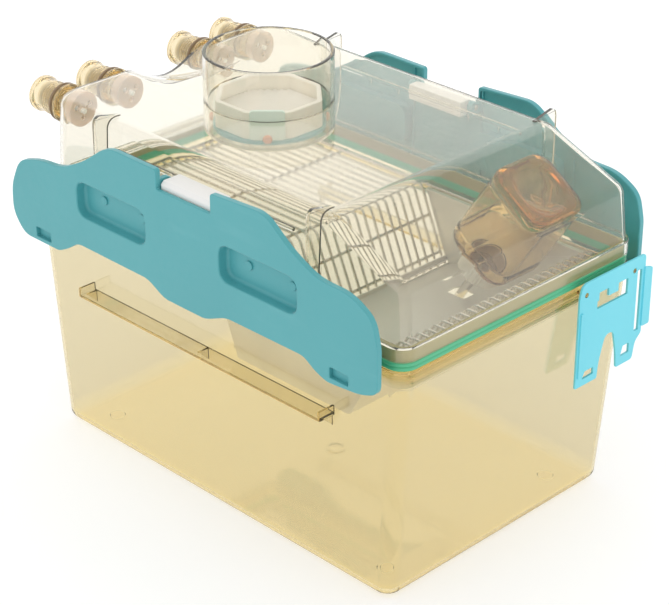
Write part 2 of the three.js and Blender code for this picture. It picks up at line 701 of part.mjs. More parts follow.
// ---- Hopper pan ----
function hopperPan() {
  const t = PAN_SHEET;
  const rearY = -25;
  const sheet = outline([
    [rearY, PAN_Z], [-150, PAN_Z], [-181, 205.6], [-203.5, 205.6], [-203.5, 205.6 + t],
    [-179.6, 205.6 + t], [-149, PAN_Z + t], [rearY, PAN_Z + t],
  ]);
  const end = outline([[rearY, PAN_Z], [-150, PAN_Z], [-181, 206.4], [-0.5, 206.4]]);
  const inner = PAN_HALF_X - t;
  const parts = [prism(sheet, 'X', -PAN_HALF_X, PAN_HALF_X)];
  for (const [x0, x1] of [[-PAN_HALF_X, -inner], [inner, PAN_HALF_X]]) parts.push(prism(end, 'X', x0, x1));
  const along = bottleAxis(1);
  const reach = (BOTTLE_BASE.z - PAN_Z) / -along.z;
  const holeY = BOTTLE_BASE.y + along.y * reach;
  const hole = box(BOTTLE_BASE.x - 8, BOTTLE_BASE.x + 8, holeY - 14, holeY + 14, PAN_Z - 3, PAN_Z + 4);
  return joined(parts).subtract(hole);
}

// ---- Bottle ----
function bottleAxis(scale) {
  return new THREE.Vector3(0, Math.cos(BOTTLE_TILT), -Math.sin(BOTTLE_TILT)).multiplyScalar(scale);
}

// Turns a solid built along +Z from its base so that it leans neck down in the hopper.
function lean(solid) {
  const degrees = 90 + THREE.MathUtils.radToDeg(BOTTLE_TILT);
  return solid.rotate([-degrees, 0, 0]).translate(BOTTLE_BASE.toArray());
}

function squareLoop(half, corner, z) {
  return rectLoop(half, half, corner, z);
}

function bottleBody() {
  const skin = 1.6;
  const neck = 17;
  return lean(loft([
    squareLoop(12, 11.9, 4.5),
    squareLoop(20, 19, 3.4),
    squareLoop(23, 21, 0.2),
    squareLoop(27, 14, 0),
    squareLoop(BOTTLE_HALF, 14, 4),
    squareLoop(BOTTLE_HALF, 14, BOTTLE_BODY - 8),
    squareLoop(26, 18, BOTTLE_BODY),
    squareLoop(neck, neck - 0.1, BOTTLE_BODY + 5),
    squareLoop(neck, neck - 0.1, BOTTLE_BODY + 19),
    squareLoop(neck - skin, neck - skin - 0.1, BOTTLE_BODY + 19),
    squareLoop(neck - skin, neck - skin - 0.1, BOTTLE_BODY + 4),
    squareLoop(26 - skin, 18 - skin, BOTTLE_BODY - 2),
    squareLoop(BOTTLE_HALF - skin, 14 - skin, BOTTLE_BODY - 9),
    squareLoop(BOTTLE_HALF - skin, 14 - skin, 6.5),
    squareLoop(21, 19, 5.4),
    squareLoop(12, 11.9, 6.4),
  ]));
}

function bottleCap() {
  const neckTop = BOTTLE_BODY + 19;
  const pairs = [
    [17.4, BOTTLE_BODY + 7], [20, BOTTLE_BODY + 7], [20, neckTop + 3.2], [18.6, neckTop + 4.6],
    [4.4, neckTop + 4.6], [4.4, neckTop + 2.6], [17.4, neckTop + 2.6], [17.4, BOTTLE_BODY + 7],
  ];
  return lean(turned(pairs, 16));
}

function bottleSeal() {
  return lean(turned(ringPairs(4.4, 17, BOTTLE_BODY + 19 + GAP, BOTTLE_BODY + 21.3), 20));
}

function sipperTube() {
  const start = BOTTLE_BODY + 15;
  const end = BOTTLE_BODY + 82;
  const pairs = [
    [2.6, start], [4, start], [4, end - 3], [2.2, end], [1.2, end], [2.6, end - 3], [2.6, start],
  ];
  return lean(turned(pairs, 14));
}

// ---- Card holder ----
function cardHolder() {
  const plate = roundedPath([
    [CARD_LEFT_X, CARD_LOW_Z, 1], [83, CARD_LOW_Z, 1], [84.5, 140, 6], [91, 161, 4.8], [101, 161, 4.8],
    [106, 140, 6], [107.5, CARD_LOW_Z, 1], [128, CARD_LOW_Z, 3], [131, 140, 3], [CARD_RIGHT_X - 8, 146, 2],
    [CARD_RIGHT_X - 8, 212, 1], [CARD_RIGHT_X - 8, CARD_TOP_Z, 2], [CARD_LEFT_X + 3, CARD_TOP_Z, 5],
    [CARD_LEFT_X, 205, 2],
  ], 1);
  let holder = prism(plate, 'Y', CARD_FRONT_Y, CARD_BACK_Y, 3);
  const lip = outline([[136.5, 152], [CARD_RIGHT_X, 152], [CARD_RIGHT_X, 203], [136.5, 206]]);
  holder = holder.add(prism(lip, 'Y', CARD_BACK_Y - 3.4, CARD_BACK_Y - 1.2));
  holder = holder.add(box(136.5, 138, CARD_BACK_Y - 3.4, CARD_BACK_Y, 152, 203));
  holder = holder.add(box(57.6, 60.4, CARD_FRONT_Y - 1.4, CARD_BACK_Y, 134, 192));
  const openings = [
    box(128, 133.5, CARD_FRONT_Y - 4, CARD_BACK_Y + 1, 150, 205),
    box(78, 116, CARD_FRONT_Y - 4, CARD_BACK_Y + 1, 189, 196),
    box(80, 92, CARD_FRONT_Y - 4, CARD_BACK_Y + 1, 195.5, 203),
    box(104, 116, CARD_FRONT_Y - 4, CARD_BACK_Y + 1, 195.5, 203),
    box(64, 78, CARD_FRONT_Y - 4, CARD_BACK_Y + 1, 131, 137.5),
    box(112, 123, CARD_FRONT_Y - 4, CARD_BACK_Y + 1, 133, 142),
  ];
  for (const x of PEG_X) {
    openings.push(turnedY(rodPairs(2.3, CARD_FRONT_Y - 2, CARD_BACK_Y + 1), 12, x, PEG_Z));
  }
  return cut(holder, openings);
}

// ---- Materials ----
function finish(color, roughness, metalness = 0, opacity = 1) {
  return new THREE.MeshStandardMaterial({ color, roughness, metalness, opacity, transparent: opacity < 1 });
}

const AMBER = finish(0xe3d3a0, 0.12, 0, 0.4);
const CLEAR_AMBER = finish(0xeae0c4, 0.1, 0, 0.35);
const GREEN = finish(0x6ec896, 0.5);
const TEAL = finish(0x5fb0b5, 0.42);
const CYAN = finish(0x82e8f0, 0.4);
const WHITE = finish(0xf4f2ee, 0.5);
const CREAM = finish(0xefe3cc, 0.6);
const STEEL = finish(0xc9c6bd, 0.25, 1);
const ORANGE = finish(0xe08a50, 0.4);
const RUBBER = finish(0x8a6f4a, 0.6);

// ---- Assembly ----
const cage = new THREE.Group();
cage.name = 'rodent_cage';
// The origin is under the middle of the whole assembly's length.
cage.position.y = -(VALVE_END_Y + CAGE_FRONT_Y) / 2;

function place(name, solid, material) {
  const mesh = new THREE.Mesh(toGeometry(solid), material);
  mesh.name = name;
  cage.add(mesh);
}

place('base_tub', baseTub(), AMBER);
place('rim_gasket', rimGasket(), GREEN);
place('wire_lid', wireLid(), STEEL);
place('hopper_pan', hopperPan(), STEEL);
place('bottle_body', bottleBody(), AMBER);
place('bottle_cap', bottleCap(), STEEL);
place('bottle_seal', bottleSeal(), RUBBER);
place('sipper_tube', sipperTube(), STEEL);
place('lid_shell', lidShell(), CLEAR_AMBER);
place('filter_seat', filterSeat(), TEAL);
place('filter_housing', filterHousing(), CREAM);
place('filter_media', filterMedia(), WHITE);
place('filter_clip', filterClip(), TEAL);
[0, 90, 180, 270].forEach((angle, i) => {
  place(`filter_stud_${i + 1}`, filterStud(CARTRIDGE_TURN + angle), ORANGE);
});
VALVE_X.forEach((x, i) => {
  place(`valve_body_${i + 1}`, valveBody(x), AMBER);
  place(`valve_ring_${i + 1}`, valveRing(x), RUBBER);
  place(`valve_retainer_${i + 1}`, valveRetainer(x), AMBER);
  place(`valve_poppet_${i + 1}`, valvePoppet(x), CREAM);
  place(`valve_spring_${i + 1}`, valveSpring(x), STEEL);
});
for (const [name, flip] of [['right', false], ['left', true]]) {
  const side = (solid) => (flip ? solid.mirror([1, 0, 0]) : solid);
  place(`latch_${name}`, side(latchPlate()), TEAL);
  place(`hinge_block_${name}`, side(hingeBlock()), WHITE);
  place(`hinge_pin_${name}`, side(hingePin()), STEEL);
}
place('card_holder', cardHolder(), CYAN);

export default cage;
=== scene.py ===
"""Looks of the ventilated rodent cage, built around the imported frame.

Shapes are made in millimetres, in the cage's own axes: X across, Y along the length from the middle of
the tub, Z up from the surface it stands on. to_row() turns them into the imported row's metres.
"""
import math

import bmesh
import bpy
from mathutils import Matrix, Vector


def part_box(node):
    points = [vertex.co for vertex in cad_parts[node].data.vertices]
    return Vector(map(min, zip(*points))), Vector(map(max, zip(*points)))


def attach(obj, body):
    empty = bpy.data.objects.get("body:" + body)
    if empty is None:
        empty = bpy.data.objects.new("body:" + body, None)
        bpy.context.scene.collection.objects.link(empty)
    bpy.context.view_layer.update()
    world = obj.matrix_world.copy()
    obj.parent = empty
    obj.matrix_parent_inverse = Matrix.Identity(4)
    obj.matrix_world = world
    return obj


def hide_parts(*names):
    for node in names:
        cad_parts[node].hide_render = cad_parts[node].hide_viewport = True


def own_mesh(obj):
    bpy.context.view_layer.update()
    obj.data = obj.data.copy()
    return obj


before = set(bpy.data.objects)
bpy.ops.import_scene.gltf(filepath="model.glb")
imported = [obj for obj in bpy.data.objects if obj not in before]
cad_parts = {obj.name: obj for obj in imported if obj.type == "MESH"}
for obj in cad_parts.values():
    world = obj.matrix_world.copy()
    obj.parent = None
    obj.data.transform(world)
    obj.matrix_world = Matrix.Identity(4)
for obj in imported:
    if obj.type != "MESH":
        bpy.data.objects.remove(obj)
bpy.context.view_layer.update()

MM = 0.001
GASKET_LOW, GASKET_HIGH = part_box("rim_gasket")
MIDDLE_Y = (GASKET_LOW.y + GASKET_HIGH.y) / 2


def extent(node):
    """Lowest and highest corner of a CAD node, in millimetres in the cage's axes."""
    low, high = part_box(node)
    shift = Vector((0, MIDDLE_Y, 0))
    return (low - shift) / MM, (high - shift) / MM


# ---- Sizes from the frame ----
TUB_HIGH = extent("base_tub")[1]
LID_LOW, LID_HIGH = extent("lid_shell")
RIM_HALF_X = GASKET_HIGH.x / MM + 0.5
RIM_HALF_Y = (GASKET_HIGH.y - MIDDLE_Y) / MM + 0.5
RIM_TOP_Z = TUB_HIGH.z
RAIL_OUT_X = TUB_HIGH.x
LID_SKIRT_Z = LID_LOW.z
COLLAR_TOP_Z = LID_HIGH.z

# ---- Sizes of the moulded shells ----
WALL = 2.4
TUB_BASE_Z = 1.2
TUB_HALF_X, TUB_HALF_Y = 129, 198
TUB_DRAFT_X, TUB_DRAFT_Y = 0.02, 0.0745
TUB_CORNER = 13
RIM_CORNER = 15
FLOOR_ROUND = 9
SHELF_HALF_X, SHELF_HALF_Y, SHELF_Z = 122.6, 201.5, 205.2
RAIL_HALF_Y, RAIL_Z, RAIL_THICK = 143, 147.5, 2.4
FOOT_X, FOOT_Y, FOOT_R = 96, 165, 7
LID_PLATE_Z, LID_FLANGE_TOP_Z = 227.6, 230.2
LID_HALF_X, LID_ROOF_HALF_X = 129.5, 125.4
LID_FRONT_Y, LID_CREASE_Y, LID_ROOF_FRONT_Y = -211.6, -207.9, -131
LID_REAR_Y, LID_ROOF_REAR_Y = 200.5, 198.7
LID_CREASE_Z, LID_ROOF_Z = 275, 307
LID_REAR_CORNER = 25
LID_EDGE = 8
SCOOP_DEPTH, SCOOP_HALF_X, SCOOP_LENGTH = 19, 45, 60
FILTER_Y, COLLAR_R, COLLAR_WALL, COLLAR_LOW_Z = 66, 54, 3.4, 279
CARTRIDGE_TURN, CARTRIDGE_MOUTH, STUD_Z = -45, 39, 288
VALVE_X = (-101, -51, 51, 101)
VALVE_Z = 290
PIVOT_X, PIVOT_Z, PIN_R = 141, 285, 2.2
CORNER_STEPS = 10

# ---- Sizes of the latches ----
LATCH_IN_X, LATCH_RIM_X, LATCH_BACK_X, LATCH_OUT_X, LATCH_RIM_WALL = 141, 148, 150, 153, 2.2
BLOCK_HALF_Y, PIN_HALF_Y, EAR_Y = 29.6, 38, {1: (31, 36), -1: (-37, -32)}
LATCH_REAR = (
    (30.5, 284, 1.2), (30.5, 300.6, 3), (90, 301, 12), (122, 278, 14), (150, 264.5, 12), (180, 262, 10),
    (207, 254, 11), (219.5, 228, 9), (220.3, 202, 10), (206, 186, 8), (160, 186, 4), (148, 192, 4),
    (134, 201.5, 6), (46, 201, 6), (26, 190.8, 6),
)
LATCH_FRONT = (
    (31.5, 284, 1.2), (31.5, 301, 3), (91, 304.5, 10), (118, 284, 12), (146, 271, 12), (180, 270.5, 12),
    (202, 258, 9), (207.2, 236, 5), (207.2, 199, 7), (190, 192.5, 8), (156, 189.5, 4), (144, 193.5, 4),
    (131, 201.5, 5), (46, 201, 6), (22, 190.8, 6),
)
POCKET_SIZE, POCKET_LOW = (85, 31), {1: (46.5, 228.5), -1: (-124.5, 231.5)}
WINDOW_SIZE, WINDOW_LOW = (19.4, 9), {1: (170, 189.6), -1: (-178, 194.6)}

# ---- Sizes of the wire lid, hopper, bottle and card holder ----
GRID_Z, GRID_REAR_Y, BAR_R, BAR_PITCH, BAR_COUNT, BEND_R = 211, 192, 1.2, 9, 27, 9
FRAME_X, FRAME_FRONT_Y, FRAME_Z, CROSS_R = 124.4, -186, 207.5, 1.3
HOPPER_BEND_Y, HOPPER_LOW_Z, HOPPER_SLOPE = 9, 151, math.radians(67)
PAN_Z, PAN_SHEET = 146, 1.2
BOTTLE_BASE, BOTTLE_TILT = (84, -155, 268), math.radians(56.4)
BOTTLE_HALF, BOTTLE_BODY = 31, 88
CARD_FRONT_Y, PEG_Z, PEG_X = -223, 206.3, (64, 124)


# ---- Mesh helpers ----
SAME_POINT = 1e-6


def to_row(point):
    """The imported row's metres for a point in the cage's millimetres."""
    x, y, z = point
    return Vector((x * MM, y * MM + MIDDLE_Y, z * MM))


def linked(name, data):
    """A new object in the scene."""
    obj = bpy.data.objects.new(name, data)
    bpy.context.scene.collection.objects.link(obj)
    return obj


def edit(obj, work):
    """Runs work on the object's mesh."""
    bm = bmesh.new()
    bm.from_mesh(obj.data)
    work(bm)
    bm.to_mesh(obj.data)
    bm.free()
    return obj


def solid(verts, faces):
    """A scratch object from points in millimetres; a piece is made from it later."""
    def clean(bm):
        bmesh.ops.remove_doubles(bm, verts=bm.verts, dist=SAME_POINT)
        bmesh.ops.recalc_face_normals(bm, faces=bm.faces)

    mesh = bpy.data.meshes.new("scratch")
    mesh.from_pydata([to_row(v) for v in verts], [], faces)
    return edit(linked("scratch", mesh), clean)


def loft(loops, closed=False):
    """Solid skin through loops of equal length; a closed loft joins its last loop to its first."""
    size = len(loops[0])
    verts = [point for ring in loops for point in ring]
    faces = []
    bands = len(loops) if closed else len(loops) - 1
    for band in range(bands):
        low, high = band * size, (band + 1) % len(loops) * size
        for i in range(size):
            j = (i + 1) % size
            faces.append((low + i, low + j, high + j, high + i))
    if not closed:
        faces.append(tuple(reversed(range(size))))
        faces.append(tuple(range(len(verts) - size, len(verts))))
    return solid(verts, faces)


def rounded_rect(half_x, low_y, high_y, front_r, rear_r, z, steps=CORNER_STEPS):
    corners = (
        (half_x - rear_r, high_y - rear_r, rear_r, 0),
        (-half_x + rear_r, high_y - rear_r, rear_r, 90),
        (-half_x + front_r, low_y + front_r, front_r, 180),
        (half_x - front_r, low_y + front_r, front_r, 270),
    )
    return [(*point, z) for x, y, r, start in corners for point in arc((x, y), r, start, start + 90, steps)]


def rect(half_x, half_y, corner, z, steps=CORNER_STEPS):
    return rounded_rect(half_x, -half_y, half_y, corner, corner, z, steps)


def ring_rows(profile, segments, centre, axis="Z"):
    """Solid of revolution: the profile is a closed run of (radius, height) pairs along the axis."""
    verts, faces = [], []
    count = len(profile)
    for s in range(segments):
        angle = 2 * math.pi * s / segments
        for r, h in profile:
            a, b = r * math.cos(angle), r * math.sin(angle)
            offset = {"Z": (a, b, h), "Y": (a, h, -b), "X": (h, a, b)}[axis]
            verts.append(tuple(c + o for c, o in zip(centre, offset)))
    for s in range(segments):
        low, high = s * count, (s + 1) % segments * count
        for i in range(count):
            j = (i + 1) % count
            faces.append((low + i, low + j, high + j, high + i))
    return solid(verts, faces)


def disc_rows(profile, segments, centre, axis="Z"):
    """Solid of revolution whose profile starts and ends on the axis."""
    def clean(bm):
        bmesh.ops.remove_doubles(bm, verts=bm.verts, dist=SAME_POINT)
        bmesh.ops.dissolve_degenerate(bm, edges=bm.edges, dist=SAME_POINT / 10)
        bmesh.ops.recalc_face_normals(bm, faces=bm.faces)
    return edit(ring_rows(profile, segments, centre, axis), clean)


def smooth_outline(points, radius=0.0, steps=6):
    """Closed outline with its corners rounded; a third number on a point is that corner's own reach."""
    out = []
    count = len(points)
    for i, point in enumerate(points):
        corner = Vector(point[:2])
        reach = point[2] if len(point) > 2 else radius
        if reach <= 0:
            out.append(tuple(corner))
            continue
        before = (Vector(points[i - 1][:2]) - corner).normalized() * reach
        after = (Vector(points[(i + 1) % count][:2]) - corner).normalized() * reach
        for step in range(steps + 1):
            t = step / steps
            out.append(tuple(corner + before * (1 - t) ** 2 + after * t ** 2))
    return out


PLACE = {
    "X": lambda a, b, h: (h, a, b),
    "Y": lambda a, b, h: (a, h, b),
    "Z": lambda a, b, h: (a, b, h),
}


def prism(outline, axis, low, high):
    """Outline pairs are (y, z) along X, (x, z) along Y and (x, y) along Z."""
    return loft([[PLACE[axis](a, b, h) for a, b in outline] for h in (low, high)])


def block(x0, x1, y0, y1, z0, z1):
    return prism([(x0, y0), (x1, y0), (x1, y1), (x0, y1)], "Z", z0, z1)


def bevelled(obj, width, segments=2, angle=35, chosen=None):
    """Rounds the edges sharper than the angle, or only those that chosen accepts."""
    def work(bm):
        edges = [
            e for e in bm.edges
            if len(e.link_faces) == 2 and e.calc_face_angle(0) > math.radians(angle)
            and (chosen is None or chosen(e))
        ]
        bmesh.ops.bevel(bm, geom=edges, offset=width * MM, segments=segments, profile=0.5,
                        affect="EDGES", clamp_overlap=True)
    return edit(obj, work)


def apply_modifiers(obj):
    graph = bpy.context.evaluated_depsgraph_get()
    mesh = bpy.data.meshes.new_from_object(obj.evaluated_get(graph))
    obj.modifiers.clear()
    obj.data = mesh
    return obj


def combine(base, tools, operation):
    for tool in tools:
        modifier = base.modifiers.new("combine", "BOOLEAN")
        modifier.operation = operation
        modifier.solver = "MANIFOLD"
        modifier.object = tool
    apply_modifiers(base)
    for tool in tools:
        bpy.data.objects.remove(tool)
    return base


def union(base, *tools):
    return combine(base, tools, "UNION")


def carve(base, *tools):
    return combine(base, tools, "DIFFERENCE")


def merged(parts):
    """One object from separate solids, without a boolean."""
    def work(bm):
        for part in parts[1:]:
            bm.from_mesh(part.data)
            bpy.data.objects.remove(part)
    return edit(parts[0], work)


def tube(path, radius, sides=8, closed=False):
    """Round bar along a path of points in millimetres; the ends of an open one are domed."""
    points = [Vector(p) for p in path]
    count = len(points)
    normal = None
    loops = []
    for i, point in enumerate(points):
        if closed:
            ahead = (points[(i + 1) % count] - points[i - 1]).normalized()
        else:
            ahead = (points[min(i + 1, count - 1)] - points[max(i - 1, 0)]).normalized()
        if normal is None:
            side = Vector((0, 0, 1)) if abs(ahead.z) < 0.9 else Vector((1, 0, 0))
            normal = (side - ahead * side.dot(ahead)).normalized()
        else:
            normal = (normal - ahead * normal.dot(ahead)).normalized()
        across = ahead.cross(normal)
        caps = [(0, 1)]
        if not closed and i in (0, count - 1):
            dome = [(-0.95, 0.3), (-0.7, 0.7), (0, 1)]
            caps = dome if i == 0 else [(-h, s) for h, s in reversed(dome)]
        for shift, share in caps:
            loops.append([
                tuple(point + ahead * (shift * radius) + radius * share * (
                    normal * math.cos(2 * math.pi * k / sides) + across * math.sin(2 * math.pi * k / sides)))
                for k in range(sides)
            ])
    return loft(loops, closed)


def soften(obj, angle):
    """Smooth shading, with sharp edges where two faces meet at more than the angle."""
    def work(bm):
        for face in bm.faces:
            face.smooth = True
        for edge in bm.edges:
            edge.smooth = edge.is_manifold and edge.calc_face_angle(0) < math.radians(angle)
    edit(obj, work)


def flatten_broad_faces(obj):
    """Lets the broad faces set the shading at their edges, so that small roundings don't bend them."""
    modifier = obj.modifiers.new("broad", "WEIGHTED_NORMAL")
    modifier.keep_sharp = True
    modifier.weight = 100
    return apply_modifiers(obj)


def piece(obj, name, material, body, node, angle=32):
    """Finishes a scratch object as a named piece that stands for a CAD node."""
    soften(obj, angle)
    flatten_broad_faces(obj)
    obj.name = name
    obj.data.name = name
    obj.data.materials.clear()
    obj.data.materials.append(material)
    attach(obj, body)
    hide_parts(node)


# ---- Materials ----
class Graph:
    """A material's node tree, with short calls for the nodes that the finishes use."""

    def __init__(self, name):
        self.material = bpy.data.materials.new(name)
        self.material.use_nodes = True
        self.tree = self.material.node_tree
        self.shader = self.tree.nodes["Principled BSDF"]
        self.output = self.tree.nodes["Material Output"]

    def add(self, kind, values=(), **settings):
        node = self.tree.nodes.new(kind)
        for key, value in settings.items():
            setattr(node, key, value)
        for label, value in dict(values).items():
            node.inputs[label].default_value = value
        return node

    def link(self, source, target):
        self.tree.links.new(source, target)

    def where(self):
        return self.add("ShaderNodeTexCoord").outputs["Object"]

    def noise(self, scale, detail=3.0, stretch=(1, 1, 1)):
        mapping = self.add("ShaderNodeMapping", {"Scale": stretch})
        self.link(self.where(), mapping.inputs["Vector"])
        noise = self.add("ShaderNodeTexNoise", {"Scale": scale, "Detail": detail})
        self.link(mapping.outputs["Vector"], noise.inputs["Vector"])
        return noise.outputs["Fac"]

    def spread(self, fac, low, high, from_low=0.3, from_high=0.7):
        ends = {"From Min": from_low, "From Max": from_high, "To Min": low, "To Max": high}
        span = self.add("ShaderNodeMapRange", ends)
        self.link(fac, span.inputs["Value"])
        return span.outputs["Result"]

    def blend(self, fac, first, second):
        mix = self.add("ShaderNodeMix", data_type="RGBA")
        self.link(fac, mix.inputs["Factor"])
        for socket, value in ((mix.inputs["A"], first), (mix.inputs["B"], second)):
            if isinstance(value, tuple):
                socket.default_value = (*value, 1)
            else:
                self.link(value, socket)
        return mix.outputs["Result"]

    def bump(self, height, strength, distance):
        bump = self.add("ShaderNodeBump", {"Strength": strength, "Distance": distance})
        self.link(height, bump.inputs["Height"])
        self.link(bump.outputs["Normal"], self.shader.inputs["Normal"])

    def set(self, **values):
        for key, value in values.items():
            socket = self.shader.inputs[key.replace("_", " ")]
            socket.default_value = (*value, 1) if isinstance(value, tuple) else value


def clear_plastic(name, passed, density, tint, clear, floor=None):
    """Clear moulded plastic: it bends light, is slightly milky, takes its tint from its thickness and
    lets lamps through. Near the floor of a moulding the colour may change, given with the direction
    inwards from that floor and the two distances between which the change fades; on the bottle's base
    this change is a painted highlight."""
    g = Graph(name)
    g.set(Base_Color=tint, IOR=1.5, Transmission_Weight=clear)
    if floor:
        floor_colour, inward, near, far = floor
        depth = g.add("ShaderNodeVectorMath", operation="DOT_PRODUCT")
        depth.inputs[1].default_value = inward
        g.link(g.where(), depth.inputs[0])
        fade = g.spread(depth.outputs["Value"], 0, 1, near, far)
        g.link(g.blend(fade, floor_colour, tint), g.shader.inputs["Base Color"])
    streaks = g.noise(26, 4, (1, 1, 0.4))
    g.link(g.spread(streaks, 0.015, 0.05), g.shader.inputs["Roughness"])
    g.bump(g.noise(9, 2), 0.05, 0.002)
    open_shader = g.add("ShaderNodeBsdfTransparent", {"Color": (0.985, 0.985, 0.985, 1)})
    path = g.add("ShaderNodeLightPath")
    surface = g.shader.outputs["BSDF"]
    for ray in ("Is Shadow Ray", "Is Diffuse Ray"):
        mix = g.add("ShaderNodeMixShader")
        g.link(path.outputs[ray], mix.inputs["Fac"])
        g.link(surface, mix.inputs[1])
        g.link(open_shader.outputs["BSDF"], mix.inputs[2])
        surface = mix.outputs["Shader"]
    g.link(surface, g.output.inputs["Surface"])
    volume = g.add("ShaderNodeVolumeAbsorption", {"Color": (*passed, 1), "Density": density})
    g.link(volume.outputs["Volume"], g.output.inputs["Volume"])
    return g.material


def moulded_plastic(name, colour, deep, roughness, sheen=0.0):
    """Opaque moulded plastic: fine satin grain, faint cloudiness and small scuffs."""
    g = Graph(name)
    cloud = g.blend(g.spread(g.noise(7, 2), 0, 1), colour, deep)
    scuffs = g.spread(g.noise(55, 6, (1, 0.25, 1)), 0, 0.12, 0.62, 0.8)
    scuffed = g.blend(scuffs, cloud, tuple(c ** 0.6 for c in colour))
    g.link(scuffed, g.shader.inputs["Base Color"])
    g.link(g.spread(g.noise(180, 2), roughness - 0.06, roughness + 0.06), g.shader.inputs["Roughness"])
    g.bump(g.noise(1500, 2), 0.12, 0.0002)
    g.set(Sheen_Weight=sheen, Sheen_Roughness=0.3)
    return g.material


def steel(name, colour, roughness, stretch=(1, 1, 1), metallic=1.0):
    """Steel whose grain runs along the axis that stretch makes small."""
    g = Graph(name)
    g.set(Metallic=metallic)
    tone = g.blend(g.spread(g.noise(12, 3), 0, 1), colour, tuple(c * 0.86 for c in colour))
    g.link(tone, g.shader.inputs["Base Color"])
    g.link(g.spread(g.noise(60, 4, stretch), roughness - 0.06, roughness + 0.1), g.shader.inputs["Roughness"])
    g.bump(g.noise(420, 3, stretch), 0.06, 0.0002)
    return g.material


AMBER = clear_plastic("amber_plastic", (0.93, 0.75, 0.12), 80, (0.865, 0.84, 0.77), 0.988,
                      floor=((0.99, 0.94, 0.76), (0, 0, 1), 0.004, 0.016))
CLEAR = clear_plastic("clear_amber_plastic", (0.9, 0.78, 0.42), 20, (0.965, 0.95, 0.905), 0.975)
BOTTLE_INWARD = Vector((0, math.cos(BOTTLE_TILT), -math.sin(BOTTLE_TILT)))
BOTTLE_FLOOR = BOTTLE_INWARD.dot(to_row(BOTTLE_BASE))
# The orange at the bottle's base is a painted highlight, standing in for the orange glints that refraction
# throws from the base ring.
BOTTLE = clear_plastic("bottle_plastic", (0.94, 0.6, 0.06), 90, (0.98, 0.91, 0.72), 0.98,
                       floor=((0.98, 0.52, 0.12), BOTTLE_INWARD, BOTTLE_FLOOR + 0.002, BOTTLE_FLOOR + 0.009))
VALVE = clear_plastic("valve_plastic", (0.9, 0.72, 0.3), 60, (0.96, 0.86, 0.64), 0.88)
NUT = clear_plastic("valve_nut_plastic", (0.93, 0.68, 0.5), 70, (0.97, 0.85, 0.72), 0.7)
TEAL = moulded_plastic("teal_plastic", (0.09, 0.4, 0.43), (0.08, 0.37, 0.4), 0.4, sheen=0.5)
TAB = moulded_plastic("pale_teal_plastic", (0.85, 0.97, 0.91), (0.8, 0.94, 0.87), 0.45)
CYAN = moulded_plastic("cyan_plastic", (0.2, 0.74, 0.86), (0.17, 0.69, 0.82), 0.38)
WHITE = moulded_plastic("white_plastic", (0.9, 0.89, 0.87), (0.86, 0.85, 0.82), 0.4)
CREAM = moulded_plastic("cream_plastic", (1.0, 0.96, 0.87), (0.97, 0.93, 0.83), 0.5)
ORANGE = moulded_plastic("orange_plastic", (0.85, 0.36, 0.18), (0.78, 0.3, 0.14), 0.35)
RUBBER = moulded_plastic("seal_rubber", (0.3, 0.2, 0.11), (0.24, 0.16, 0.09), 0.5)
WIRE_STEEL = steel("wire_steel", (0.78, 0.74, 0.66), roughness=0.22)
SPRING_STEEL = steel("spring_steel", (0.72, 0.6, 0.32), roughness=0.24)
SHEET_STEEL = steel("sheet_steel", (1.0, 0.96, 0.85), roughness=0.38, stretch=(0.05, 1, 1), metallic=0.6)


def filter_cloth():
    g = Graph("filter_fabric")
    fibres = g.noise(900, 4, (1, 0.3, 1))
    tone = g.blend(g.spread(fibres, 0, 1), (1.0, 0.98, 0.93), (0.94, 0.91, 0.84))
    g.link(tone, g.shader.inputs["Base Color"])
    g.bump(fibres, 0.5, 0.0006)
    g.set(Roughness=0.95, Sheen_Weight=0.3)
    return g.material


GASKET_SPLIT_Z = 0.2166


def gasket_rubber():
    """Soft seal, green; the olive on its upper lip under the lid's flange is painted shade, standing in for
    the green seen darkened through the amber flange.
    """
    g = Graph("gasket_rubber")
    height = g.add("ShaderNodeSeparateXYZ")
    g.link(g.where(), height.inputs["Vector"])
    cloud = g.spread(g.noise(9, 2), 0, 1)
    green = g.blend(cloud, (0.1, 0.52, 0.28), (0.08, 0.46, 0.24))
    # Olive above the split height is painted shade: the green lip as seen through the amber flange.
    flange_shade_olive = g.blend(cloud, (0.42, 0.37, 0.15), (0.38, 0.33, 0.13))
    step = g.spread(height.outputs["Z"], 0, 1, GASKET_SPLIT_Z, GASKET_SPLIT_Z + 0.0006)
    g.link(g.blend(step, green, flange_shade_olive), g.shader.inputs["Base Color"])
    g.link(g.spread(g.noise(160, 2), 0.3, 0.42), g.shader.inputs["Roughness"])
    g.bump(g.noise(900, 2), 0.15, 0.0002)
    return g.material


CLOTH = filter_cloth()
GREEN = gasket_rubber()


# ---- Tub ----
def tub_loop(z, inset, corner):
    return rect(TUB_HALF_X + TUB_DRAFT_X * z - inset, TUB_HALF_Y + TUB_DRAFT_Y * z - inset, corner, z)


def floor_arc(base, inset, radius, corner):
    """Loops that round the wall into the floor, from the wall down to the floor's edge."""
    return [tub_loop(z, inset + shrink, corner - shrink * 0.7) for z, shrink in
            [(base + rise, out) for out, rise in edge_arc(0, radius, 1, 6)]]


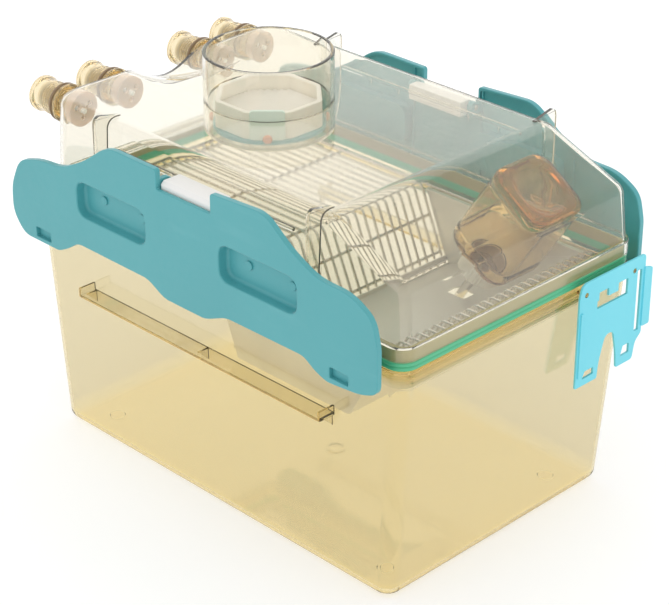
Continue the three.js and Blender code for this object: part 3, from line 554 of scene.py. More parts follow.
def tub_shell():
    inner_corner = TUB_CORNER - WALL
    outside = list(reversed(floor_arc(TUB_BASE_Z, 0, FLOOR_ROUND, TUB_CORNER)))
    rim = [tub_loop(193.5, 0, TUB_CORNER)] + [rect(*row) for row in (
        (132.9, 212.5, TUB_CORNER, 194.6),
        (133.1, 212.8, TUB_CORNER, 195.2),
        (133.1, 212.8, TUB_CORNER, 198.4),
        (133.4, 213.3, RIM_CORNER - 1, 199.2),
        (133.5, 213.5, RIM_CORNER - 1, 202.2),
        (133, 212.8, RIM_CORNER - 1, 203),
        (133.6, RIM_HALF_Y - 0.8, RIM_CORNER, 203.4),
        (RIM_HALF_X, RIM_HALF_Y, RIM_CORNER, 204.2),
        (RIM_HALF_X, RIM_HALF_Y, RIM_CORNER, RIM_TOP_Z - 0.8),
        (RIM_HALF_X - 0.8, RIM_HALF_Y - 0.8, RIM_CORNER, RIM_TOP_Z),
        (130.2, 208.9, TUB_CORNER - 2, RIM_TOP_Z),
        (129.4, 208.2, TUB_CORNER - 2, RIM_TOP_Z - 0.8),
        (129.4, 208.2, TUB_CORNER - 2, SHELF_Z),
        (SHELF_HALF_X + 0.6, SHELF_HALF_Y + 0.6, TUB_CORNER - 7, SHELF_Z),
        (SHELF_HALF_X, SHELF_HALF_Y, TUB_CORNER - 7, SHELF_Z - 0.6),
        (SHELF_HALF_X, SHELF_HALF_Y, TUB_CORNER - 7, SHELF_Z - 2.4),
    )]
    inside = [tub_loop(195, WALL, inner_corner), tub_loop(191, WALL, inner_corner)]
    inside += floor_arc(TUB_BASE_Z + 2.6, WALL, FLOOR_ROUND - 1.6, inner_corner)
    return loft(outside + rim + inside)


def rack_rail(side):
    wall_x = side * (TUB_HALF_X + TUB_DRAFT_X * RAIL_Z - 1.2)
    out_x = side * RAIL_OUT_X
    low_x, high_x = sorted((wall_x, out_x))
    shelf = block(low_x, high_x, -RAIL_HALF_Y, RAIL_HALF_Y, RAIL_Z, RAIL_Z + RAIL_THICK)
    parts = [
        block(low_x, high_x, *sorted((end * RAIL_HALF_Y, end * (RAIL_HALF_Y - 2.2))), RAIL_Z, RAIL_Z + 8.5)
        for end in (-1, 1)
    ]
    for y in (-RAIL_HALF_Y + 3, 0, RAIL_HALF_Y - 3):
        gusset = [(wall_x, RAIL_Z + 0.5), (out_x - side * 5, RAIL_Z + 0.5), (wall_x, RAIL_Z - 11)]
        parts.append(prism(gusset, "Y", y - 0.9, y + 0.9))
    return bevelled(union(shelf, *parts), 0.5, 2)


def tub_feet():
    profile = [(0, 0), (FOOT_R - 0.6, 0), (FOOT_R, 0.5), (FOOT_R, TUB_BASE_Z + 1), (0, TUB_BASE_Z + 1)]
    return [disc_rows(profile, 32, (x, y, 0)) for x in (-FOOT_X, FOOT_X) for y in (-FOOT_Y, FOOT_Y)]


def gate_mark():
    ring = [(6.6, -0.5), (8.2, -0.5), (8.2, 0.6), (6.6, 0.6)]
    return ring_rows(ring, 32, (0, -13, TUB_BASE_Z + 2.6))


def make_tub():
    tip_y, root_y = extent("card_holder")[0].y + 1.2, 5 - RIM_HALF_Y
    peg = [(0, tip_y), (1.9, tip_y + 0.2), (1.9, root_y), (0, root_y)]
    pegs = [disc_rows(peg, 16, (x, 0, PEG_Z), "Y") for x in PEG_X]
    tub = union(tub_shell(), rack_rail(-1), rack_rail(1), *tub_feet(), gate_mark(), *pegs)
    piece(tub, "tub", AMBER, "base", "base_tub")


# ---- Gasket ----
def make_gasket():
    low, high = extent("rim_gasket")
    ribs = ((0.9, 0), (0.2, 0.7), (0, 1.8), (0.2, 2.9), (0.8, 3.6),
            (0.2, 4.3), (0, 5.3), (0.3, 6.4), (1.1, 7))
    outside = [(inset, low.z + rise) for inset, rise in ribs]
    upper = [(2.8, low.z + 7), (2.8, high.z - 0.8), (3.6, high.z), (5.6, high.z), (6.4, high.z - 0.8)]
    lower = [(6.4, low.z + 0.6), (5.8, low.z)]
    loops = [
        rect(RIM_HALF_X - 0.5 - inset, RIM_HALF_Y - 0.5 - inset, RIM_CORNER - inset * 0.6, z)
        for inset, z in outside + upper + lower
    ]
    piece(loft(loops, closed=True), "gasket", GREEN, "base", "rim_gasket")


# ---- Lid ----
UPRIGHT_RISE = 0.03


def lid_body(inset, low_z):
    """Body bounded by the lid's walls, window and roof, with all its upper edges rounded."""
    rise = LID_ROOF_Z - LID_FLANGE_TOP_Z
    side_slope = (LID_HALF_X - LID_ROOF_HALF_X) / rise
    rear_slope = (LID_REAR_Y - LID_ROOF_REAR_Y) / rise
    front_slope = (LID_CREASE_Y - LID_FRONT_Y) / (LID_CREASE_Z - LID_FLANGE_TOP_Z)
    run = Vector((LID_ROOF_FRONT_Y - LID_CREASE_Y, LID_ROOF_Z - LID_CREASE_Z))
    roof_z = LID_ROOF_Z - inset
    crease_y = LID_CREASE_Y + inset
    crease_z = LID_CREASE_Z - inset * (run.length / run.x) + inset * run.y / run.x
    roof_front_y = crease_y + (roof_z - crease_z) * run.x / run.y
    stations = (
        (LID_FRONT_Y + inset - front_slope * (LID_FLANGE_TOP_Z - low_z), low_z),
        (crease_y, crease_z),
        (roof_front_y, roof_z),
        (LID_ROOF_REAR_Y - inset, roof_z),
        (LID_REAR_Y - inset + rear_slope * (LID_FLANGE_TOP_Z - low_z), low_z),
    )
    loops = []
    for side in (-1, 1):
        loops.append([
            (side * (LID_HALF_X - inset - side_slope * (z - LID_FLANGE_TOP_Z)), y, z) for y, z in stations
        ])
    body = loft(loops)
    rear_y = to_row((0, LID_REAR_Y - 10.5, 0)).y
    corner = LID_REAR_CORNER - inset
    floor_z = low_z * MM + 1e-5

    def upright_behind(edge, limit_y):
        first, second = (v.co for v in edge.verts)
        return min(first.y, second.y) > limit_y and abs(first.z - second.z) > UPRIGHT_RISE

    def upper(edge):
        raised = max(v.co.z for v in edge.verts) > floor_z
        return raised and not upright_behind(edge, rear_y - corner * MM)

    bevelled(body, corner, 8, 35, lambda e: upright_behind(e, rear_y))
    return bevelled(body, LID_EDGE - inset * 0.6, 5, 12, upper)


def scoop(drop):
    """Dip of the roof between the valve pairs, behind the collar."""
    half = SCOOP_HALF_X + 10
    start = LID_ROOF_REAR_Y - SCOOP_LENGTH
    across, along = 24, 14
    loops = []
    for step in range(along + 1):
        t = step / along
        y = start + (LID_REAR_Y + 12 - start) * t
        depth = SCOOP_DEPTH * math.sin(math.pi / 2 * t)
        ring = [(half, y, LID_ROOF_Z + 14), (-half, y, LID_ROOF_Z + 14)]
        for i in range(across + 1):
            s = -1 + 2 * i / across
            ring.append((s * half, y, LID_ROOF_Z + 0.5 - drop - depth * (0.5 + 0.5 * math.cos(math.pi * s))))
        loops.append(ring)
    return loft(loops)


def lid_flange():
    low, high = LID_SKIRT_Z, LID_FLANGE_TOP_Z
    rows = ((0.5, low), (0, low + 0.6), (0, high - 1), (0.3, high - 0.3), (1, high))
    return loft([rect(RIM_HALF_X - inset, RIM_HALF_Y - inset, RIM_CORNER, z) for inset, z in rows])


def lid_fin(side, y):
    outline = smooth_outline([
        (side * 126, LID_PLATE_Z + 1, 0), (side * 132.5, LID_PLATE_Z + 1, 0), (side * 137, 244, 6),
        (side * 139, 262, 6), (side * 139, 306.5, 3), (side * 137.6, 310.8, 1.6), (side * 134, 312.4, 1.4),
        (side * 112, 307.6, 1), (side * 112, 304.9, 0), (side * 119, 304.9, 0), (side * 124.2, 300, 0),
    ])
    return bevelled(prism(outline, "Y", y - 1.5, y + 1.5), 0.7, 2)


def hinge_rail(side):
    low_x, high_x = sorted((side * 125, side * 129))
    rail = block(low_x, high_x, -96, 108, 283.5, 286)
    ribs = [
        prism([(side * 125.4, 284), (side * 128.6, 284), (side * 126.6, 274)], "Y", y - 1, y + 1)
        for y in (-73, -40, 40, 73)
    ]
    return union(rail, *ribs)


def collar_solids():
    low, high, out = COLLAR_LOW_Z, COLLAR_TOP_Z, COLLAR_R
    outer = [(0, low), (out - 1, low), (out, low + 1), (out, high - 1), (out - 1, high), (0, high)]
    bore_r = out - COLLAR_WALL
    bore = [(0, low + 3), (bore_r, low + 3), (bore_r, high - 0.8), (bore_r + 1.6, high + 0.8),
            (0, high + 0.8)]
    mouth = [(0, low - 1), (40, low - 1), (40, low + 4), (0, low + 4)]
    centre = (0, FILTER_Y, 0)
    return disc_rows(outer, 72, centre), disc_rows(bore, 72, centre), disc_rows(mouth, 48, centre)


def make_lid():
    body = carve(lid_body(0, LID_PLATE_Z + 1), scoop(0))
    hollow = carve(lid_body(WALL, LID_PLATE_Z - 1), scoop(WALL))
    channel = loft([
        rect(132, 212.3, RIM_CORNER - 2, LID_SKIRT_Z - 1),
        rect(132, 212.3, RIM_CORNER - 2, LID_PLATE_Z),
    ])
    collar, bore, mouth = collar_solids()
    lid = carve(union(body, lid_flange()), channel, hollow)
    extras = [lid_fin(side, y) for side in (-1, 1) for y in (-122, 122)]
    extras += [hinge_rail(side) for side in (-1, 1)]
    lid = union(lid, collar, *extras)
    holes = [disc_rows([(0, 190), (12, 190), (12, 210), (0, 210)], 32, (x, 0, VALVE_Z), "Y") for x in VALVE_X]
    lid = carve(lid, bore, mouth, *holes)
    piece(lid, "lid", CLEAR, "lid", "lid_shell", angle=28)


# ---- Plates with rounded edges ----
def tidy_outline(outline, closest=0.02):
    """Outline without repeated points."""
    kept = []
    for point in outline:
        if not kept or (Vector(point) - Vector(kept[-1])).length > closest:
            kept.append(tuple(point))
    if (Vector(kept[0]) - Vector(kept[-1])).length <= closest:
        kept.pop()
    return kept


def inset(outline, distance):
    """Outline moved inwards, each point along the bisector of its two edges."""
    count = len(outline)
    points = [Vector(p) for p in outline]
    area = sum(points[i - 1].x * points[i].y - points[i].x * points[i - 1].y for i in range(count))
    moved = []
    for i, here in enumerate(points):
        before = (here - points[i - 1]).normalized()
        after = (points[(i + 1) % count] - here).normalized()
        middle = before + after
        inward = Vector((-middle.y, middle.x)).normalized() * (1 if area > 0 else -1)
        moved.append(tuple(here + inward * distance / max(middle.length / 2, 0.6)))
    return moved


def stacked(outline, axis, stations):
    """Solid through copies of the outline; each station is its place along the axis and its inset."""
    outline = tidy_outline(outline)
    return loft([[PLACE[axis](a, b, h) for a, b in inset(outline, depth)] for h, depth in stations])


def edge_arc(end, radius, sign, steps=3):
    """Stations that round one end of a plate, from the end face towards its middle."""
    angles = [math.pi / 2 * step / steps for step in range(steps + 1)]
    return [(end + sign * radius * (1 - math.cos(a)), radius * (1 - math.sin(a))) for a in angles]


def plate(outline, axis, low, high, low_edge=0.0, high_edge=0.0):
    """Prism whose two end edges are each rounded by a radius of their own."""
    bottom = edge_arc(low, low_edge, 1) if low_edge else [(low, 0)]
    top = edge_arc(high, high_edge, -1) if high_edge else [(high, 0)]
    return stacked(outline, axis, bottom + top[::-1])


def arc(centre, radius, start, end, steps):
    """Points of an arc between two angles in degrees."""
    angles = [math.radians(start + (end - start) * step / steps) for step in range(steps + 1)]
    return [(centre[0] + radius * math.cos(a), centre[1] + radius * math.sin(a)) for a in angles]


def pin(x, z, radius, low, high, segments=20, chamfer=0.3):
    """Round pin along Y with eased ends."""
    profile = [(0, low), (radius - chamfer, low), (radius, low + chamfer), (radius, high - chamfer),
               (radius - chamfer, high), (0, high)]
    return disc_rows(profile, segments, (x, 0, z), "Y")


# ---- Latches ----
def latch_outline(shrink):
    """Outline of the plate in (y, z): the rear half away from the notch, then the front half back."""
    middle_z = 246
    outline = []
    for end, half in ((1, LATCH_REAR), (-1, LATCH_FRONT)):
        moved = [
            (end * (y - shrink if y > 40 else y + shrink), z - shrink if z > middle_z else z + shrink, reach)
            for y, z, reach in half
        ]
        outline += moved if end > 0 else moved[::-1]
    return tidy_outline(smooth_outline(outline))


def grown(corner, size, grow):
    """Rectangle from its low corner and its size, grown on all sides."""
    (y, z), (length, height) = corner, size
    return [(y - grow, z - grow), (y + length + grow, z - grow), (y + length + grow, z + height + grow),
            (y - grow, z + height + grow)]


def pocket_outline(end, grow):
    return smooth_outline(grown(POCKET_LOW[end], POCKET_SIZE, grow), 11)


def pocket_cutter(end):
    floor = LATCH_IN_X + 2.6
    return stacked(pocket_outline(end, 0), "X", [
        (floor, 3.4), (floor + 0.35, 2.0), (floor + 1.2, 0.9), (floor + 2.8, 0.3), (LATCH_OUT_X - 1.3, 0),
        (LATCH_OUT_X - 0.5, -0.3), (LATCH_OUT_X + 0.02, -1.1), (LATCH_OUT_X + 1, -1.1),
    ])


def ejector_marks(end):
    """Two flat round pads on the pocket's floor, left by the mould."""
    low_y, low_z = POCKET_LOW[end]
    floor = LATCH_IN_X + 2.2
    profile = [(0, floor), (3.7, floor), (3.7, floor + 1.5), (3.4, floor + 1.8), (0, floor + 1.8)]
    places = (low_y + 12.5, low_y + POCKET_SIZE[0] - 25)
    return [disc_rows(profile, 24, (0, y, low_z + 18), "X") for y in places]


def latch_hook(end):
    low_y = WINDOW_LOW[end][0]
    rim = RIM_HALF_X + 0.6
    root = LATCH_BACK_X + 1
    side = [(rim, 199.5), (138, 195.2), (root, 195.2), (root, 197.4), (142, 197.4), (138.5, 202), (rim, 202)]
    return plate(side, "Y", low_y - 3, low_y + WINDOW_SIZE[0] + 3, 0.4, 0.4)


def latch_window(end):
    return stacked(smooth_outline(grown(WINDOW_LOW[end], WINDOW_SIZE, 0), 1.2), "X", [
        (LATCH_RIM_X + 1.2, 0), (LATCH_OUT_X - 0.4, 0), (LATCH_OUT_X + 0.01, -0.4), (LATCH_OUT_X + 1, -0.4),
    ])


def window_back(end):
    """The hook's root closes most of a latch window, 3.8 mm below the latch's face."""
    (low_y, low_z), (wide, high) = WINDOW_LOW[end], WINDOW_SIZE
    return block(LATCH_RIM_X + 0.4, LATCH_BACK_X + 0.4,
                 low_y - 2, low_y + wide + 2, low_z - 2, low_z + high + 2)


def latch_ear(end):
    low_y, high_y = EAR_Y[end]
    root = LATCH_BACK_X + 1
    ear = [(root, PIVOT_Z - 6)] + arc((PIVOT_X, PIVOT_Z), 6, 270, 90, 14) + [(root, PIVOT_Z + 6)]
    bore = pin(PIVOT_X, PIVOT_Z, PIN_R + 0.15, low_y - 1, high_y + 1, 20, 0.1)
    return carve(plate(ear, "Y", low_y, high_y, 0.4, 0.4), bore)


def latch_rib(y, low_z, high_z):
    return block(LATCH_RIM_X + 0.4, LATCH_BACK_X + 0.4, y - 0.8, y + 0.8, low_z, high_z)


def mirrored(obj):
    """The same solid on the other side of the cage."""
    def work(bm):
        for v in bm.verts:
            v.co.x = -v.co.x
        bmesh.ops.reverse_faces(bm, faces=bm.faces)
    return edit(obj, work)


def make_latch(hand):
    latch = stacked(latch_outline(0), "X", [
        (LATCH_RIM_X, 0.5), (LATCH_RIM_X + 0.5, 0), (LATCH_OUT_X - 0.8, 0), (LATCH_OUT_X - 0.4, 0.12),
        (LATCH_OUT_X - 0.12, 0.4), (LATCH_OUT_X, 0.8),
    ])
    hollow = prism(latch_outline(LATCH_RIM_WALL), "X", LATCH_RIM_X - 1, LATCH_BACK_X)
    notch = BLOCK_HALF_Y + 0.6
    latch = carve(latch, hollow, block(LATCH_RIM_X - 1, LATCH_BACK_X, -notch, notch, 276, 292))
    cups = [prism(pocket_outline(end, 2), "X", LATCH_IN_X + 0.6, LATCH_OUT_X - 1.5) for end in (-1, 1)]
    ribs = [latch_rib(y, 204, 299) for y in (-36, 42)] + [latch_rib(y, 200, 267) for y in (-136, 142)]
    latch = union(latch, *cups, *ribs)
    latch = carve(latch, pocket_cutter(-1), pocket_cutter(1))
    added = ejector_marks(-1) + ejector_marks(1) + [latch_hook(end) for end in (-1, 1)]
    added += [window_back(end) for end in (-1, 1)]
    latch = union(latch, *added, *[latch_ear(end) for end in (-1, 1)])
    latch = carve(latch, latch_window(-1), latch_window(1))
    if hand == "left":
        mirrored(latch)
    piece(latch, f"side_latch_{hand}", TEAL, f"latch_{hand}", f"latch_{hand}", angle=40)


def make_hinge(hand):
    side = [(129.4, 277), (146.8, 277), (148.7, 279), (149, 287.8), (146.4, 290.4), (129.4, 290.4)]
    body = plate(smooth_outline(side, 0.8), "Y", -BLOCK_HALF_Y, BLOCK_HALF_Y, 1.0, 1.0)
    body = carve(body, pin(PIVOT_X, PIVOT_Z, PIN_R + 0.1, -BLOCK_HALF_Y - 1, BLOCK_HALF_Y + 1))
    rod = pin(PIVOT_X, PIVOT_Z, PIN_R, -PIN_HALF_Y, PIN_HALF_Y, 24, 0.5)
    if hand == "left":
        mirrored(body)
        mirrored(rod)
    piece(body, f"hinge_bearing_{hand}", WHITE, "lid", f"hinge_block_{hand}")
    piece(rod, f"hinge_rod_{hand}", WIRE_STEEL, "lid", f"hinge_pin_{hand}")


# ---- Card holder ----
def make_card_holder():
    face = [
        (56, 125, 1.5), (83, 125, 1.5), (84.5, 140, 6), (91, 161, 4.8), (101, 161, 4.8), (106, 140, 6),
        (107.5, 125, 1.5), (128, 125, 3), (131, 140, 3), (138, 146, 2), (138, 217, 4), (59, 217, 6),
        (56, 205, 2),
    ]
    front, back = CARD_FRONT_Y, CARD_FRONT_Y + 2
    holder = plate(smooth_outline(face), "Y", front, back, 0.35, 0.35)
    lip = smooth_outline([(136.2, 152), (146, 152), (146, 203), (136.2, 206)], 2)
    lip = plate(lip, "Y", front - 1.4, front + 0.8, 0.4, 0.3)
    groove = plate(smooth_outline([(57.6, 134), (60.4, 134), (60.4, 192), (57.6, 192)], 1.3), "Y",
                   front - 1.4, back, 0.4)
    holder = union(holder, lip, groove)
    slot_y = (front - 4, back + 1)
    openings = (
        ((128, 150), (5.5, 55)), ((78, 189), (38, 7)), ((80, 195.5), (12, 7.5)), ((104, 195.5), (12, 7.5)),
    )
    cutters = [prism(smooth_outline(grown(*opening, 0), 0.8), "Y", *slot_y) for opening in openings]
    for x0, x1, low, high in ((64, 78, 131, 137.5), (112, 123, 133, 142)):
        slant = [(x0, low), (x1, low + 0.4), (x1, high), (x0 + 3, high)]
        cutters.append(prism(smooth_outline(slant, 0.8), "Y", *slot_y))
    cutters += [pin(x, PEG_Z, 2.3, *slot_y) for x in PEG_X]
    holder = carve(holder, *cutters)
    piece(holder, "cage_card_holder", CYAN, "card", "card_holder")


# ---- Wire lid ----
def bar_path(x):
    """One bar: flat over the tub, then bent down as the hopper's rear wall."""
    path = [(x, GRID_REAR_Y, GRID_Z), (x, 100, GRID_Z), (x, HOPPER_BEND_Y + 4, GRID_Z)]
    slope = 90 + math.degrees(HOPPER_SLOPE)
    path += [(x, y, z) for y, z in arc((HOPPER_BEND_Y, GRID_Z - BEND_R), BEND_R, 90, slope, 6)]
    return path + [(x, slope_y(z), z) for z in (HOPPER_LOW_Z + 3, HOPPER_LOW_Z)]


def slope_y(z):
    """Middle of the sloping bars at height z."""
    bend_y = HOPPER_BEND_Y - BEND_R * math.sin(HOPPER_SLOPE)
    bend_z = GRID_Z - BEND_R * (1 - math.cos(HOPPER_SLOPE))
    return bend_y - (bend_z - z) / math.tan(HOPPER_SLOPE)


def front_stub(x):
    """Short end of a front wire: it lies on the frame and turns down along the pan."""
    run = ((-190, 1.6), (-187, 1.6), (-180.5, 1.4), (-178, 0.3), (-176.4, -2), (-173, -9))
    return [(x, y, GRID_Z + rise) for y, rise in run]


def make_wire_lid():
    spread = [(i - (BAR_COUNT - 1) / 2) * BAR_PITCH for i in range(BAR_COUNT)]
    parts = [tube(bar_path(x), BAR_R, 10) for x in spread]
    parts += [tube(front_stub(x), BAR_R, 8) for x in spread]
    frame_path = rounded_rect(FRAME_X, FRAME_FRONT_Y, GRID_REAR_Y - 1, 12, 12, FRAME_Z, 6)
    parts.append(tube(frame_path, 1.7, 10, closed=True))
    under_z = GRID_Z - BAR_R - CROSS_R + 0.4
    for y in (GRID_REAR_Y - 2, 100, HOPPER_BEND_Y + 2):
        parts.append(tube([(-FRAME_X, y, under_z), (0, y, under_z), (FRAME_X, y, under_z)], CROSS_R, 10))
    for z in (184, HOPPER_LOW_Z + 2):
        y = slope_y(z) + BAR_R + 0.7
        parts.append(tube([(-118.6, y, z), (0, y, z), (118.6, y, z)], CROSS_R, 10))
    piece(merged(parts), "wire_grid", WIRE_STEEL, "wire_lid", "wire_lid", angle=50)


# ---- Hopper pan ----
def make_hopper_pan():
    t = PAN_SHEET
    rear_y = -25
    half_x = extent("hopper_pan")[1].x
    centre = [(rear_y, PAN_Z, 0), (-150, PAN_Z, 5), (-181, 205.6, 4), (-203.5, 205.6, 0)]
    upper = [(-203.5, 205.6 + t, 0), (-179.8, 205.6 + t, 4), (-149, PAN_Z + t, 5), (rear_y, PAN_Z + t, 0)]
    sheet = plate(smooth_outline(centre + upper), "X", -half_x, half_x, 0.3, 0.3)
    end = [(rear_y, PAN_Z, 0), (-150, PAN_Z, 5), (-180.5, 205, 3), (-180.5, 206.4, 0), (-0.5, 206.4, 3)]
    ends = [plate(smooth_outline(end), "X", x, x + t, 0.3, 0.3) for x in (-half_x, half_x - t)]
    rim = smooth_outline([(-180, 206.2), (-2, 206.2), (-2, 207.6), (-180, 207.6)], 0.6)
    rims = [plate(rim, "X", x, x + 4.2, 0.3, 0.3) for x in (-half_x, half_x - 4.2)]
    lip = [(rear_y, PAN_Z + 0.2), (rear_y + 1.4, PAN_Z + 0.2), (rear_y + 1.4, PAN_Z + 4.5),
           (rear_y, PAN_Z + 4.5)]
    lip = plate(smooth_outline(lip, 0.5), "X", -half_x + 1, half_x - 1)
    reach = (BOTTLE_BASE[2] - PAN_Z) / math.sin(BOTTLE_TILT)
    hole_y = BOTTLE_BASE[1] + math.cos(BOTTLE_TILT) * reach
    hole = smooth_outline(grown((BOTTLE_BASE[0] - 7, hole_y - 10), (14, 20), 0), 4)
    pan = carve(union(sheet, *ends, *rims, lip), prism(hole, "Z", PAN_Z - 3, PAN_Z + 6))
    piece(pan, "feed_hopper", SHEET_STEEL, "wire_lid", "hopper_pan")


# ---- Bottle ----
def lean(obj):
    """Tips a solid built upwards from the bottle's base so that its neck points down into the hopper."""
    turn = Matrix.Rotation(-math.pi / 2 - BOTTLE_TILT, 4, "X")
    home = Matrix.Translation((0, -MIDDLE_Y, 0))
    obj.data.transform(Matrix.Translation(to_row(BOTTLE_BASE)) @ turn @ home)
    return obj


def bottle_shell():
    b, h, skin = BOTTLE_BODY, BOTTLE_HALF, 1.6
    outside = [
        (6, 5.9, 5.2), (12, 11.9, 4.6), (17, 16.5, 4.1), (20, 19, 3.2), (22, 20.5, 1.2), (23.4, 20, 0.3),
        (25.4, 18, 0), (28.2, 16, 0.5), (30.2, 15, 1.8), (h, 14, 4), (h, 14, 9), (h - 0.7, 13.6, 11),
        (h - 0.7, 13.6, 13), (h, 14, 15), (h, 14, b - 22), (h - 0.7, 13.6, b - 20), (h - 0.7, 13.6, b - 18),
        (h, 14, b - 16), (h, 14, b - 9), (30.2, 14.4, b - 5.6), (28.6, 15.8, b - 2.6), (26, 17.4, b),
        (22, 18.6, b + 2.2), (18.4, 18.1, b + 3.6), (17, 16.9, b + 5), (17, 16.9, b + 18.4),
        (16.4, 16.3, b + 19),
    ]
    inside = [
        (17 - skin, 15.3, b + 19), (17 - skin, 15.3, b + 4.4), (19, 17.2, b + 1.6),
        (26 - skin, 18 - skin, b - 2), (h - skin, 14 - skin, b - 9), (h - skin, 14 - skin, 6.5),
        (27, 15, 3.4), (23.6, 18, 3.2), (21, 19, 4.6), (12, 11.9, 6.6), (6, 5.9, 7),
    ]
    return loft([rect(half, half, corner, z, 8) for half, corner, z in outside + inside])


def knurled(radius, low, high, count=48):
    """Ring of shallow grip ribs round a cap."""
    loops = []
    for z, grow in ((low, -0.5), (low + 0.6, 0), (high - 0.6, 0), (high, -0.5)):
        ring = []
        for i in range(count * 2):
            angle = math.pi * i / count
            r = radius + grow - (0.55 if i % 2 else 0)
            ring.append((r * math.cos(angle), r * math.sin(angle), z))
        loops.append(ring)
    return loft(loops)


def make_bottle():
    body = BOTTLE_BODY
    top = body + 19
    piece(lean(bottle_shell()), "water_bottle", BOTTLE, "bottle", "bottle_body")
    origin = (0, 0, 0)
    hollow = [(0, body + 6), (17.4, body + 6), (17.4, top + 2.6), (4.4, top + 2.6), (4.4, top + 6),
              (0, top + 6)]
    hollow = disc_rows(hollow, 48, origin)
    grip = knurled(20, body + 7, top + 3.4)
    crown = disc_rows([(0, top), (18.9, top), (18.9, top + 3.6), (18, top + 4.6), (0, top + 4.6)], 48, origin)
    cap = carve(union(grip, crown), hollow)
    piece(lean(cap), "bottle_screw_cap", SHEET_STEEL, "bottle", "bottle_cap")
    seal = [(4.5, top + 0.3), (16.8, top + 0.3), (17, top + 0.6), (17, top + 2), (16.8, top + 2.3),
            (4.5, top + 2.3)]
    piece(lean(ring_rows(seal, 40, origin)), "bottle_washer", RUBBER, "bottle", "bottle_seal")
    low, high = body + 15, body + 82
    spout = [(2.6, low), (3.8, low), (4, low + 0.3), (4, high - 6), (3.8, high - 3.5), (3.1, high - 1.2),
             (2.2, high), (1.4, high), (1.3, high - 1), (2.4, high - 4), (2.6, high - 6)]
    piece(lean(ring_rows(spout, 28, origin)), "sipper", WIRE_STEEL, "bottle",
          "sipper_tube")


# ---- Valves ----
def coil_path(x, low, high, radius, turns, steps=20):
    """Compression spring with closed ends along Y."""
    path = []
    total = turns * steps
    for i in range(total + 1):
        t = i / total
        ease = min(max((t - 0.08) / 0.84, 0), 1)
        angle = 2 * math.pi * turns * t
        y = low + 0.7 + (high - low - 1.4) * ease
        if t < 0.08:
            y += 0.9 * (t / 0.08 - 1) * 0.3
        path.append((x + radius * math.cos(angle), y, VALVE_Z + radius * math.sin(angle)))
    return path


def valve_body(x):
    end = extent("valve_body_1")[1].y
    outer = [
        (9.6, 184.8), (11.4, 184.8), (11.7, 185.1), (11.7, 201.4), (16.6, 201.4), (17, 201.8), (17, 204),
        (16.6, 204.4), (14.6, 204.4), (14, 205),
    ]
    for y in (211.5, 214.5, 217.5, 220.5):
        outer += [(14, y - 0.7), (14.35, y), (14, y + 0.7)]
    outer += [(14, 229.6), (14.3, 231.4), (15, 232.6), (15.4, 233.4), (15.4, end - 0.5), (14.9, end),
              (11.9, end), (11.4, end - 0.5), (11.4, 206.4), (11, 206), (9.6, 206)]
    return ring_rows(outer, 48, (x, 0, VALVE_Z), "Y")


def make_valve(index, x):
    centre = (x, 0, VALVE_Z)
    piece(valve_body(x), f"nozzle_{index}", VALVE, "lid", f"valve_body_{index}")
    ring = [(16.6 + 1.2 * math.cos(a) - 1.05, 208 + 1.45 * math.sin(a)) for a in
            [2 * math.pi * i / 10 for i in range(10)]]
    piece(ring_rows(ring, 40, centre, "Y"), f"nozzle_ring_{index}", RUBBER, "lid",
          f"valve_ring_{index}")
    nut = [(2.6, 182), (13.7, 182), (14.2, 182.5), (14.2, 191.1), (13.7, 191.6), (12.3, 191.6), (12, 191.3),
           (12, 184.4), (2.6, 184.4)]
    nut = ring_rows(nut, 40, centre, "Y")
    drills = []
    for angle in (30, 150, 270):
        a = math.radians(angle)
        drills.append(pin(x + 6.6 * math.cos(a), VALVE_Z + 6.6 * math.sin(a), 2.6, 180, 187))
    nut = carve(nut, *drills)
    piece(nut, f"nozzle_nut_{index}", NUT, "lid", f"valve_retainer_{index}")
    plug = [(0, 179), (1.8, 179), (2.2, 179.4), (2.2, 225.4), (3.4, 226.6), (10.2, 227.6), (10.8, 228.2),
            (10.8, 229.6), (10.3, 230), (4, 230.6), (0, 231)]
    piece(disc_rows(plug, 32, centre, "Y"), f"poppet_{index}_stem", CREAM, f"poppet_{index}",
          f"valve_poppet_{index}")
    coil = tube(coil_path(x, 184.8, 226.3, 8.3, 11), 0.85, 8)
    piece(coil, f"coil_spring_{index}", SPRING_STEEL, "lid", f"valve_spring_{index}",
          angle=60)
    fixed = to_row((x, 184.8, VALVE_Z))
    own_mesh(coil)


# ---- Filter ----
def octagon(flat_r, turn=0.0):
    r = flat_r / math.cos(math.pi / 8)
    return [(r * math.cos(a), r * math.sin(a) + FILTER_Y)
            for a in [math.pi / 8 + turn + math.pi / 4 * i for i in range(8)]]


def filter_seat():
    z = COLLAR_LOW_Z + 3.3
    out = extent("filter_seat")[1].x
    profile = [(41.4, z), (out - 0.4, z), (out, z + 0.4), (out, z + 3), (out - 0.6, z + 3.6),
               (45, z + 3.6), (44.6, z + 3.2), (43.8, z + 3.2), (43.4, z + 3.6), (41.4, z + 3.6),
               (41, z + 3.2), (41, z + 0.4)]
    piece(ring_rows(profile, 72, (0, FILTER_Y, 0)), "filter_seat_ring", TEAL, "lid",
          "filter_seat")


def filter_stud(index, angle):
    profile = [(0, -50), (2.6, -50), (3.2, -49.6), (3.8, -48.6), (3.8, -47.6), (3.4, -47.2), (0, -47.2)]
    stud = disc_rows(profile, 24, (0, FILTER_Y, STUD_Z), "Y")
    turned_about(stud, angle)
    piece(stud, f"filter_knob_{index}", ORANGE, "lid", f"filter_stud_{index}")


